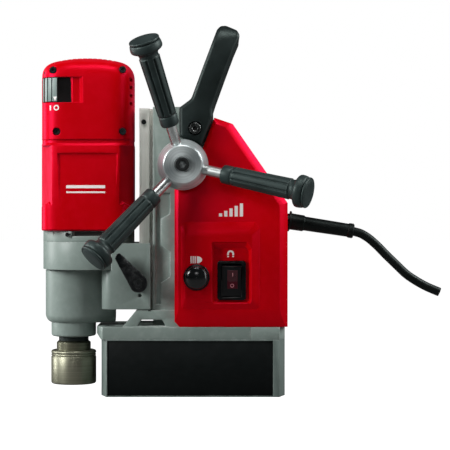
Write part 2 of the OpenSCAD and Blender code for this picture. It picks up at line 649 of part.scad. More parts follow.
// side view of the tail, in X,Z
tail_side = [[-136.8, tail_z], [-54.2, tail_z], [-54.2, 289], [-55.6, 294.5], [-60, 299],
  [-66, 300.8], [-80, 303.1], [-95.5, 304], [-111, 303.1], [-125, 300.8],
  [-131, 298.6], [-135.4, 294], [-136.8, 289]];
tail_screw_at = [[-124.8, 291.5], [-62.6, 292], [-121.3, 236.5], [-62.6, 236.6]];
tail_bearing_r = 9.5;
// front half; the rear half is its mirror image
module tail_half() difference() {
  union() {
    difference() {
      intersection() {
        prism_y(tail_side, -41.4, 0);
        round_box(motor_at, [82.6, 82.8], 11, 229, 305);
      }
      intersection() {
        box(-133.6, -57.4, -38.2, 1, 229, 297.5);
        round_box(motor_at, [76.2, 76.4], 8, 229, 305);
      }
    }
    // bearing bridge and screw posts
    box(-110, -81, -39, 0, 268, 281);
    cyls_y(tail_screw_at, -39, 0, 4.6, post_facets);
  }
  cyl_z(motor_at, 266, 283, 6, medium);
  cyl_z(motor_at, 271, 279.02, tail_bearing_r, medium);
}
module side_vents() for (z = [281.8, 274.7, 267.6, 260.4]) box(-62, -53, -36.8, -33, z, z + 3.6);
module top_vents(y0, y1) for (i = [0:6]) box(-125 + 8.6*i, -121 + 8.6*i, y0, y1, 296, 305);
module tail_front() color("#c40012") difference() {
  tail_half();
  cyls_y(tail_screw_at, -42, 1, 1.7);
  cyls_y(tail_screw_at, -42, -35, 3.5);
  // window of the motor switch and the finger recess beside it
  box(-138, -110.6, -42, -33, 262.4, 285.1);
  box(-138, -132.6, -42, -26, 262.4, 285.1);
  box(-110.7, -96.8, -42, -39.6, 262.4, 285.1);
  side_vents();
  top_vents(-30, -6);
}
module tail_rear() color("#c40012") difference() {
  mirror([0, 1, 0]) tail_half();
  cyls_y(tail_screw_at, -1, 26, 1.4);
  mirror([0, 1, 0]) side_vents();
  top_vents(6, 30);
  // slots in the rear face
  for (i = [0:5]) box(-120, -72, 37, 42, 244 + 6*i, 246.6 + 6*i);
}
module tail_screws() color("#15191b")
  for (at = tail_screw_at) front_screw(at, -37.6, 3, 2.6, 1.4, 56);
module switch_slider() color("#7b8a86") difference() {
  intersection() {
    union() {
      box(-137, -120.8, -41.4, -37.4, 263, 284.5);
      box(-137, -133.2, -41.4, -28, 263, 284.5);
      box(-134, -123.5, -38, -31, 266, 281.5);
    }
    round_box(motor_at, [82.2, 82.4], 10.8, 262, 286);
  }
  // finger grooves
  for (i = [0:2]) box(-134.6 + 4.2*i, -133 + 4.2*i, -42, -40.5, 262, 286);
}

// ---------- motor internals ----------
core_z0 = 163;                    // stator and armature stacks
core_z1 = 208;
commutator_r = 13;
module stator_core() color("#5d6263") difference() {
  union() {
    difference() {
      cyl_z(motor_at, core_z0, core_z1, 36.4);
      cyl_z(motor_at, core_z0 - 1, core_z1 + 1, 30);
    }
    // the two poles
    intersection() {
      difference() {
        cyl_z(motor_at, core_z0, core_z1, 30.2);
        cyl_z(motor_at, core_z0 - 1, core_z1 + 1, 23);
      }
      box(motor_x - 15, motor_x + 15, -35, 35, 160, 210);
    }
  }
  cyls_z([for (y = [-34.4, 34.4]) [motor_x, y]], core_z0 - 1, core_z1 + 1, 1.4);
}
module field_coils() color("#a8522c") for (side = [-1, 1]) intersection() {
  difference() {
    cyl_z(motor_at, 158.5, 214, 29.6);
    cyl_z(motor_at, 158, 215, 23.3);
    box(motor_x - 15.3, motor_x + 15.3, -36, 36, 162.6, 208.4);
  }
  box(motor_x - 40, motor_x + 40, side > 0 ? 0.8 : -40, side > 0 ? 40 : -0.8, 150, 220);
}
// boxes on both X sides of the motor axis, from near to far
module brush_boxes(near, far, half_y, z0, z1) for (side = [-1, 1])
  box(motor_x + (side > 0 ? near : -far), motor_x + (side > 0 ? far : -near),
    -half_y, half_y, z0, z1);
module brush_holders() color("#3b3128") difference() {
  union() {
    cyl_z(motor_at, 220.5, 224, 36.3);
    brush_boxes(15, 31, 5.2, 223.9, 231.4);
  }
  cyl_z(motor_at, 220, 225, 15, medium);
  brush_boxes(14, 29, 3.1, 225.4, 230.2);
  cyls_z([for (y = [-26, 26]) [motor_x, y]], 220, 225, 7, medium);
}
module carbon_brushes() color("#25282a") brush_boxes(commutator_r + 0.07, 27, 3, 225.5, 230.1);
// plain ring with a shallow groove in its top face
module bearing(at, z0, z1, outer_r, bore_r) {
  wall = outer_r - bore_r;
  difference() {
    cyl_z(at, z0, z1, outer_r);
    cyl_z(at, z0 - 1, z1 + 1, bore_r);
    difference() {
      cyl_z(at, z1 - 0.6, z1 + 1, bore_r + wall*0.72);
      cyl_z(at, z1 - 1, z1 + 2, bore_r + wall*0.28);
    }
  }
}
module armature_bearings() color("#b4b9b7") {
  bearing(motor_at, 140, 147, 11, armature_shaft_r + run_gap);
  bearing(motor_at, 271.5, 278.5, tail_bearing_r, armature_shaft_r + run_gap);
}
module spindle_bearings() color("#b4b9b7") {
  bearing(spindle_at, 66, 76, spindle_bearing_r, spindle_r + run_gap);
  bearing(spindle_at, 85.8, 95.8, spindle_bearing_r, spindle_r + run_gap);
}
module shaft_seal() color("#15181a") difference() {
  cyl_z(spindle_at, 47.6, 56.8, seal_r);
  cyl_z(spindle_at, 46, 58, spindle_nose_r + run_gap);
}

// ---------- rail clamp ----------
lever_along = polar(1, 129);
lever_across = [lever_along[1], -lever_along[0]];
// point of the lever outline in X,Z
function lever_point(along, across) = clamp_at + along*lever_along + across*lever_across;
module clamp_lever() color("#121617") difference() {
  union() {
    cyl_y(clamp_at, -48, -35.3, 7.8, medium);
    prism_y([lever_point(0, 7.6), lever_point(41, 2.6), lever_point(43, 0),
      lever_point(41, -2.6), lever_point(0, -7.6)], -48, -42.2);
  }
  cyl_y(clamp_at, -49, -35, 3, coarse);
  cyl_y(clamp_at, -49, -44.6, 3.8, coarse);
}
module lever_screw() color("#2a2f30") front_screw(clamp_at, -48.6, 3.7, 4, 3, 16.2);

// ---------- spindle, chuck and gear train ----------
collar_r = 15.5;
bore_r = 4;                       // passage up the spindle
// mesh directions: motor to intermediate axis, intermediate to spindle axis
stage1_angle = atan2(mid_y, mid_x - motor_x);
stage2_angle = atan2(-mid_y, spindle_x - mid_x);
module spindle() color("#a9a58f") difference() {
  union() {
    cyl_z(spindle_at, 39, 45.8, collar_r);
    cone_z(spindle_at, 45.8, 47.2, collar_r, collar_r - 1.4);
    cyl_z(spindle_at, 47, 65, spindle_nose_r);
    cyl_z(spindle_at, 64.9, 112.4, spindle_r);
  }
  cyl_z(spindle_at, 38, 100, bore_r, medium);
}
// half a tooth of extra turn sets a gap against the pinion's tooth
module spindle_gear() color("#8f9390") difference() {
  translate([spindle_x, 0, 98])
    gear(stage2_module, spindle_teeth, 12, stage2_angle + 180 + 180/spindle_teeth);
  cyl_z(spindle_at, 97, 111, spindle_r);
}
module chuck_body() color("#8d8a78") difference() {
  cyl_z(spindle_at, 10, 39, 16.94);
  cyl_z(spindle_at, 9, 35.5, cutter_r);
  cyl_z(spindle_at, 35, 40, bore_r, medium);
  // three radial holes
  for (a = [0:120:240]) translate([spindle_x, 0, 20]) rotate([0, 0, a]) rotate([0, 90, 0])
    cylinder(h = 20, r = 2.6, $fn = coarse);
}
module chuck_sleeve() {
  bevel = 1.1;
  color("#a39a7c") difference() {
    union() {
      cyl_z(spindle_at, 9.6, 37.9, sleeve_r);
      cone_z(spindle_at, 8.5, 8.5 + bevel, sleeve_r - bevel, sleeve_r);
      cone_z(spindle_at, 37.9, 37.9 + bevel, sleeve_r, sleeve_r - bevel);
    }
    cyl_z(spindle_at, 8, 40, 17);
    // two grooves near the top
    for (z = [33.2, 35.2]) difference() {
      cyl_z(spindle_at, z, z + 1.1, sleeve_r + 1);
      cyl_z(spindle_at, z - 1, z + 2, sleeve_r - 0.7);
    }
  }
}
module intermediate_gear() color("#8f9390") {
  cyl_z(mid_at, 88.4, 135.6, mid_shaft_r, medium);
  translate([mid_x, mid_y, 97]) gear(stage2_module, mid_small_teeth, 15, stage2_angle);
  cyl_z(mid_at, 111.9, 119.6, 8, medium);
  translate([mid_x, mid_y, 119.5])
    gear(stage1_module, mid_big_teeth, 7.5, stage1_angle + 180 + 180/mid_big_teeth);
}
module armature_shaft() color("#b4b8b6") {
  translate([motor_x, 0, 117.4]) gear(stage1_module, armature_teeth, 11, stage1_angle);
  cyl_z(motor_at, 128.3, 284, armature_shaft_r, medium);
}
module armature_core() color("#6a6058") difference() {
  union() {
    cyl_z(motor_at, core_z0, core_z1, 22.4);
    cyl_z(motor_at, 158.6, 218, 16.5);
  }
  around_motor(12, 162) translate([21.4, -0.8, 0]) cube([3, 1.6, 47]);
  cyl_z(motor_at, 157, 220, armature_shaft_r, medium);
}
module commutator() color("#b06a3a") difference() {
  cyl_z(motor_at, 220, 240, commutator_r);
  cyl_z(motor_at, 219, 241, armature_shaft_r, medium);
  around_motor(18, 222) translate([11.8, -0.25, 0]) cube([3, 0.5, 19]);
}
module cooling_fan() color("#33393a") difference() {
  union() {
    cyl_z(motor_at, 149, 157, 9, medium);
    cyl_z(motor_at, 149, 150.4, 33.5);
    around_motor(12, 150.2) translate([8, -0.8, 0]) rotate([0, 0, 12]) cube([23.5, 1.6, 6]);
  }
  cyl_z(motor_at, 148, 158, armature_shaft_r, medium);
}

magnet_housing();
magnet_coil();
coil_potting();
magnet_side_plates();
magnet_bolts();
column_frame();
gib_strip();
gib_screws();
feed_bushes();
carry_handle();
handle_bolts();
control_housing_front();
control_housing_rear();
housing_screws();
control_board();
rocker_bezel();
button_bezel();
strain_relief();
power_cord();
slide_rail();
feed_rack();
rail_screws();
pinion_shaft();
shaft_retaining_ring();
feed_hub();
hub_screw();
feed_spokes();
feed_grips();
grip_end_caps();
motor_bracket();
bracket_bolts();
gearbox_lower();
gearbox_upper();
motor_end_plate();
gearbox_screws();
motor_can();
tail_front();
tail_rear();
tail_screws();
stator_core();
field_coils();
brush_holders();
carbon_brushes();
armature_bearings();
spindle_bearings();
shaft_seal();
clamp_lever();
lever_screw();
spindle();
spindle_gear();
chuck_body();
chuck_sleeve();
intermediate_gear();
armature_shaft();
armature_core();
commutator();
cooling_fan();
switch_slider();
rocker_switch();
push_button();
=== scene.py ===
# Magnetic-base core drill: magnet and column, drill head on the left, three-spoke feed wheel.
# X runs to the right, -Y is the front, Z is up. Shapes are in millimetres and scaled on building;
# material distances, lights and camera are in metres.
import bpy, bmesh, math, json
from mathutils import Vector, Matrix
from mathutils.geometry import tessellate_polygon
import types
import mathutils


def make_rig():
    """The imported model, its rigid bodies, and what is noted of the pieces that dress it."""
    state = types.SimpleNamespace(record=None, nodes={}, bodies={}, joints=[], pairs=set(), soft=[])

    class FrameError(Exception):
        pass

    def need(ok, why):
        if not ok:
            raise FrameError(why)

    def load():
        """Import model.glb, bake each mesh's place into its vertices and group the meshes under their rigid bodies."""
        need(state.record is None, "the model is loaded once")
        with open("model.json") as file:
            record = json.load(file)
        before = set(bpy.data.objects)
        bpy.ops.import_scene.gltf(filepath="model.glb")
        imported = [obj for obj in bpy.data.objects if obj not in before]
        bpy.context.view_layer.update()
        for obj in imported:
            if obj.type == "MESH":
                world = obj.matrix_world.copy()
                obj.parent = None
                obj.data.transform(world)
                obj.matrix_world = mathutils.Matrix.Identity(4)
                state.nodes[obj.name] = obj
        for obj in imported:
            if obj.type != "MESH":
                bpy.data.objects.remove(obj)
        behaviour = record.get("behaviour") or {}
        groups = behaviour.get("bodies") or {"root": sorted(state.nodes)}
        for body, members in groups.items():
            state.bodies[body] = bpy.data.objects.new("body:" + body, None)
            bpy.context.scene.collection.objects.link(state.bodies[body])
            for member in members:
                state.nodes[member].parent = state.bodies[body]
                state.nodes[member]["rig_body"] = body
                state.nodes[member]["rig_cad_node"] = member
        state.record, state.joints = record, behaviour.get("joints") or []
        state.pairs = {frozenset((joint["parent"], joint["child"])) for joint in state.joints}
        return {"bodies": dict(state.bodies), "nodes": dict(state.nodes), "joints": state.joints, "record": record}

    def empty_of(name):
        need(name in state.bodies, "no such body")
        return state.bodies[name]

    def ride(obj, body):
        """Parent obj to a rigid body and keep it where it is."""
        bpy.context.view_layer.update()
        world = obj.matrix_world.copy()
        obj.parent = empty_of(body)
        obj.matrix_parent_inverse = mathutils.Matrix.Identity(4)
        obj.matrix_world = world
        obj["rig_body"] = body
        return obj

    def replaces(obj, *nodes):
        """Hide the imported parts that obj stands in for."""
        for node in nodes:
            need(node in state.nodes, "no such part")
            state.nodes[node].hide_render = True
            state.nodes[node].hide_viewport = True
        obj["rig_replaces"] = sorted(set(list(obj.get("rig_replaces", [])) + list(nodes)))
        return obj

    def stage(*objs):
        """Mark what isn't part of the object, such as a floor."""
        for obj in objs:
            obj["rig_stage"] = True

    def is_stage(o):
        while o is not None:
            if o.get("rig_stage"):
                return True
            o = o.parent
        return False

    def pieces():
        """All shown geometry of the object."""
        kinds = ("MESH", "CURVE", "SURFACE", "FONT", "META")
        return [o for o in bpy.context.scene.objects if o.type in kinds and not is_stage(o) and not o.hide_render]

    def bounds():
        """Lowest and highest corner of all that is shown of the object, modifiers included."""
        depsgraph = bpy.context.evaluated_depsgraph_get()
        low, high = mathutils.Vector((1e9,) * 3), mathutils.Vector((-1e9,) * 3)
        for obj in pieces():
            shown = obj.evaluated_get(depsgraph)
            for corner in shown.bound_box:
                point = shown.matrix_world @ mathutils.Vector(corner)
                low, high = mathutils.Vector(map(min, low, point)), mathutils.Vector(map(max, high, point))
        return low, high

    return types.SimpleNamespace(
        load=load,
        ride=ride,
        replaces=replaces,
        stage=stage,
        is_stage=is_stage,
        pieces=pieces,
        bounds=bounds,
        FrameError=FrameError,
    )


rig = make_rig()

MM = 0.001

# Axes and centres shared between pieces
HUB_X, HUB_Z = -8.7, 206.6            # feed wheel axis, along Y
SPINDLE_X = -109.4                    # spindle axis, along Z
MOTOR_X = -95.5                       # motor axis, along Z
TAIL_HALF_WIDTH, TAIL_HALF_DEPTH = 41.3, 41.4
TAIL_POWER = 4.3                      # squareness of the motor tail's section
SLIDER_HALF_WIDTH, SLIDER_HALF_DEPTH = 41.2, 41.35
CAN_FLAT_TOP = (-39.3, 216.4)         # (y, z) at the top of the motor can's sloping front flat
CAN_FLAT_RUN, CAN_FLAT_DROP = 2.2, 50.4
PANEL_FACE_Y = -45.4                  # face of the raised switch panel


def plain_box(bounds):
    return [[round(float(c), 6) for c in point] for point in bounds]


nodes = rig.load()["nodes"]
cad_box = plain_box(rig.bounds())


# ------------------------------------------------------------------ shader nodes
class Nodes:
    """Short ways to add and link the nodes of one tree."""

    def __init__(self, tree):
        self.tree = tree

    def add(self, kind, **settings):
        node = self.tree.nodes.new(kind)
        for key, value in settings.items():
            setattr(node, key, value)
        return node

    def feed(self, socket, value):
        """Links a socket into an input, or sets the input's value."""
        if isinstance(value, bpy.types.NodeSocket):
            self.tree.links.new(value, socket)
        else:
            socket.default_value = value

    def feed_all(self, node, values):
        for key, value in values.items():
            self.feed(node.inputs[key], value)

    def operate(self, kind, operation, *values):
        node = self.add(kind, operation=operation)
        for socket, value in zip(node.inputs, values):
            self.feed(socket, value)
        return node.outputs

    def math(self, operation, *values):
        return self.operate("ShaderNodeMath", operation, *values)[0]

    def coords(self, stretch=(1, 1, 1)):
        texture = self.add("ShaderNodeTexCoord")
        mapping = self.add("ShaderNodeMapping")
        self.feed_all(mapping, {"Scale": stretch, "Vector": texture.outputs["Object"]})
        return mapping.outputs["Vector"]

    def split(self, vector):
        node = self.add("ShaderNodeSeparateXYZ")
        self.feed(node.inputs[0], vector)
        return node.outputs

    def combine(self, x, y):
        node = self.add("ShaderNodeCombineXYZ")
        self.feed(node.inputs[0], x)
        self.feed(node.inputs[1], y)
        return node.outputs[0]

    def noise(self, vector, scale, detail, roughness=0.55):
        node = self.add("ShaderNodeTexNoise")
        self.feed_all(node, {"Scale": scale, "Detail": detail, "Roughness": roughness,
                             "Vector": vector})
        return node.outputs["Fac"]

    def remap(self, value, between, to):
        node = self.add("ShaderNodeMapRange")
        self.feed_all(node, {"From Min": between[0], "From Max": between[1],
                             "To Min": to[0], "To Max": to[1], "Value": value})
        return node.outputs["Result"]

    def mix(self, factor, first, second):
        """Colour blend; each colour is a socket or an RGB tuple."""
        node = self.add("ShaderNodeMix", data_type="RGBA")
        self.feed(node.inputs[0], factor)
        for socket, color in ((node.inputs[6], first), (node.inputs[7], second)):
            self.feed(socket, (*color, 1) if isinstance(color, tuple) else color)
        return node.outputs[2]

    def bevel(self, radius):
        node = self.add("ShaderNodeBevel", samples=4)
        node.inputs["Radius"].default_value = radius
        return node.outputs["Normal"]

    def edge_mask(self, radius=0.0009):
        """1 on sharp edges and 0 on flats: how far the rounded normal turns from the true one."""
        turned_normal = self.bevel(radius)
        geometry = self.add("ShaderNodeNewGeometry")
        match = self.operate("ShaderNodeVectorMath", "DOT_PRODUCT",
                             turned_normal, geometry.outputs["Normal"])["Value"]
        return self.remap(match, between=(0.98, 0.84), to=(0, 1))


class Finish(Nodes):
    """A material with one Principled body."""

    def __init__(self, name):
        self.material = bpy.data.materials.new(name)
        self.material.use_nodes = True
        super().__init__(self.material.node_tree)
        self.tree.nodes.clear()
        self.output = self.add("ShaderNodeOutputMaterial")
        self.body = self.add("ShaderNodeBsdfPrincipled")
        self.feed(self.output.inputs[0], self.body.outputs[0])

    def set_body(self, values):
        self.feed_all(self.body, values)

    def source(self, key):
        """The socket that already feeds one of the body's inputs."""
        return self.body.inputs[key].links[0].from_socket

    def relief(self, height, strength, distance, rounding):
        """Bump over edges that are rounded in shading; rounding 0 leaves them sharp."""
        normal = self.bevel(rounding) if rounding else None
        node = self.add("ShaderNodeBump")
        self.feed_all(node, {"Strength": strength, "Distance": distance, "Height": height})
        if normal is not None:
            self.feed(node.inputs["Normal"], normal)
        self.set_body({"Normal": node.outputs["Normal"]})


# ------------------------------------------------------------------ material recipes
def scaled(color, factor):
    return tuple(c * factor for c in color)


def painted(name, base, pale_wear_and_highlight, roughness, grain, metallic=0.0, rounding=0.0007, specular=0.4):
    """Sprayed or cast finish: slow colour drift, fine grain bump, pale edges that are partly wear and partly painted
    highlight.
    """
    s = Finish(name)
    place = s.coords()
    slow = s.noise(place, scale=14, detail=3)
    fine = s.noise(place, scale=900, detail=3)
    middle = s.noise(place, scale=160, detail=5)
    color = s.mix(s.remap(slow, between=(0.3, 0.7), to=(0, 0.4)), base, scaled(base, 0.88))
    color = s.mix(s.remap(middle, between=(0.45, 0.75), to=(0, 0.07)), color, pale_wear_and_highlight)
    # pale edges: partly paint wear, partly painted highlight where light catches the edges
    edge_wear_and_highlight = s.math("MULTIPLY", s.edge_mask(),
                  s.remap(middle, between=(0.38, 0.62), to=(0.15, 1)))
    color = s.mix(s.remap(edge_wear_and_highlight, between=(0, 1), to=(0, 0.6)), color, pale_wear_and_highlight)
    s.set_body({
        "Base Color": color,
        "Metallic": metallic,
        "Specular IOR Level": specular,
        "Roughness": s.remap(middle, between=(0.3, 0.7), to=(roughness - 0.03, roughness + 0.05)),
    })
    s.relief(fine, strength=grain, distance=0.00012, rounding=rounding)
    return s


def metal(name, base, dark, roughness, scale, relief, patina,
          stretch=(1, 1, 1), anisotropic=0.0, metallic=1.0):
    """Bare metal: brushing drawn out by the stretch, patchy tone and roughness."""
    s = Finish(name)
    brush = s.noise(s.coords(stretch), scale=scale, detail=6, roughness=0.7)
    patch = s.noise(s.coords(), scale=45, detail=5, roughness=0.6)
    halfway = tuple(0.5 * (a + b) for a, b in zip(base, dark))
    color = s.mix(s.remap(brush, between=(0.3, 0.7), to=(0, 0.7)), base, halfway)
    color = s.mix(s.remap(patch, between=(0.42, 0.72), to=(0, patina)), color, dark)
    s.set_body({
        "Base Color": color,
        "Metallic": metallic,
        "Roughness": s.remap(patch, between=(0.3, 0.7), to=(roughness - 0.05, roughness + 0.12)),
        "Anisotropic": anisotropic,
    })
    s.relief(brush, strength=relief, distance=0.00008, rounding=0.0005)
    return s


def turned(name, base, dark, roughness, centre, axis, ring_scale, painted_sheen, metallic=1.0):
    """Lathe-turned metal: rings about an axis through centre (mm), and a painted sheen in the colour that sweeps
    round.
    """
    s = Finish(name)
    texture = s.add("ShaderNodeTexCoord")
    offset = s.operate("ShaderNodeVectorMath", "SUBTRACT",
                       texture.outputs["Object"], tuple(c * MM for c in centre))[0]
    parts = s.split(offset)
    across, up = {"Y": ("X", "Z"), "Z": ("X", "Y")}[axis]
    distance = s.operate("ShaderNodeVectorMath", "LENGTH",
                         s.combine(parts[across], parts[up]))["Value"]
    along = s.math("MULTIPLY", parts[axis], 1.0)
    rings = s.noise(s.combine(distance, along), scale=ring_scale, detail=3, roughness=0.7)
    # painted sheen: two bright wedges opposite each other in the colour, standing in for the reflection a turned face
    # shows
    angle = s.math("ARCTAN2", parts[up], parts[across])
    wave_count, wave_shift = 2.0, 0.6
    painted_sheen_wedges = s.math("SINE", s.math("MULTIPLY_ADD", angle, wave_count, wave_shift))
    color = s.mix(s.remap(painted_sheen_wedges, between=(-1, 1), to=(0, painted_sheen)), base, dark)
    color = s.mix(s.remap(rings, between=(0.35, 0.65), to=(0, 0.35)), color, dark)
    s.set_body({
        "Base Color": color,
        "Metallic": metallic,
        "Roughness": s.remap(rings, between=(0.3, 0.7), to=(roughness - 0.05, roughness + 0.08)),
    })
    s.relief(rings, strength=0.35, distance=0.00006, rounding=0.0004)
    return s


def rubber(name, base, roughness, grain, specular=0.32):
    """Dark rubber with a fine grain and slightly paler edges."""
    s = Finish(name)
    place = s.coords()
    fine = s.noise(place, scale=1500, detail=2)
    slow = s.noise(place, scale=60, detail=4)
    color = s.mix(s.remap(slow, between=(0.35, 0.7), to=(0, 0.7)), base, scaled(base, 2.0))
    edges = s.edge_mask(radius=0.0006)
    color = s.mix(s.remap(edges, between=(0, 1), to=(0, 0.5)), color, scaled(base, 3.6))
    s.set_body({
        "Base Color": color,
        "Roughness": s.remap(slow, between=(0.3, 0.7), to=(roughness - 0.07, roughness + 0.1)),
        "Specular Tint": (0.80, 1.0, 0.94, 1),
        "Specular IOR Level": specular,
    })
    s.relief(fine, strength=grain, distance=0.0001, rounding=0.0004)
    return s


def gloss(name, base, roughness, specular=0.5):
    """Smooth moulded plastic."""
    s = Finish(name)
    place = s.coords()
    slow = s.noise(place, scale=90, detail=3)
    fine = s.noise(place, scale=700, detail=2)
    paler = tuple(c * 1.7 + 0.002 for c in base)
    s.set_body({
        "Base Color": s.mix(s.remap(slow, between=(0.35, 0.7), to=(0, 0.6)), base, paler),
        "Roughness": s.remap(slow, between=(0.3, 0.7), to=(roughness, roughness + 0.1)),
        "Specular IOR Level": specular,
    })
    s.relief(fine, strength=0.06, distance=0.00005, rounding=0.0005)
    return s


def red_shell(name):
    """Matte body plus a coloured gloss, so that highlights stay pink rather than white."""
    s = painted(name, base=(0.44, 0.0002, 0.0006), pale_wear_and_highlight=(0.85, 0.006, 0.03),
                roughness=0.36, grain=0.16, rounding=0.0008, specular=0.0)
    glossy = s.add("ShaderNodeBsdfGlossy")
    layer = s.add("ShaderNodeLayerWeight")
    layer.inputs["Blend"].default_value = 0.22
    facing_tint, grazing_tint = (0.13, 0.0025, 0.012), (0.75, 0.16, 0.36)
    tint = s.mix(s.remap(layer.outputs["Facing"], between=(0.22, 0.92), to=(0, 1)),
                 facing_tint, grazing_tint)
    s.feed_all(glossy, {"Color": tint, "Roughness": s.source("Roughness"),
                        "Normal": s.source("Normal")})
    both = s.add("ShaderNodeAddShader")
    s.feed(both.inputs[0], s.body.outputs[0])
    s.feed(both.inputs[1], glossy.outputs[0])
    s.feed(s.output.inputs[0], both.outputs[0])
    return s


def paint_shade_in_box(s, strength, **spans):
    """Painted shade: darkens a finish inside a soft-edged box, given as X, Y and Z spans in mm."""
    softness = 0.3
    color = s.source("Base Color")
    place = s.split(s.add("ShaderNodeTexCoord").outputs["Object"])
    inside = None
    for axis, (low, high) in spans.items():
        for limit, to in ((low, (0, 1)), (high, (1, 0))):
            fade = s.remap(place[axis], to=to,
                           between=((limit - softness) * MM, (limit + softness) * MM))
            inside = fade if inside is None else s.math("MULTIPLY", inside, fade)
    painted_shade = (0.004, 0.005, 0.005)
    color = s.mix(s.remap(inside, between=(0, 1), to=(0, strength)), color, painted_shade)
    s.set_body({"Base Color": color})
    return s


# ------------------------------------------------------------------ the materials
GREY = (0.200, 0.250, 0.228)
PALE = (0.55, 0.62, 0.58)

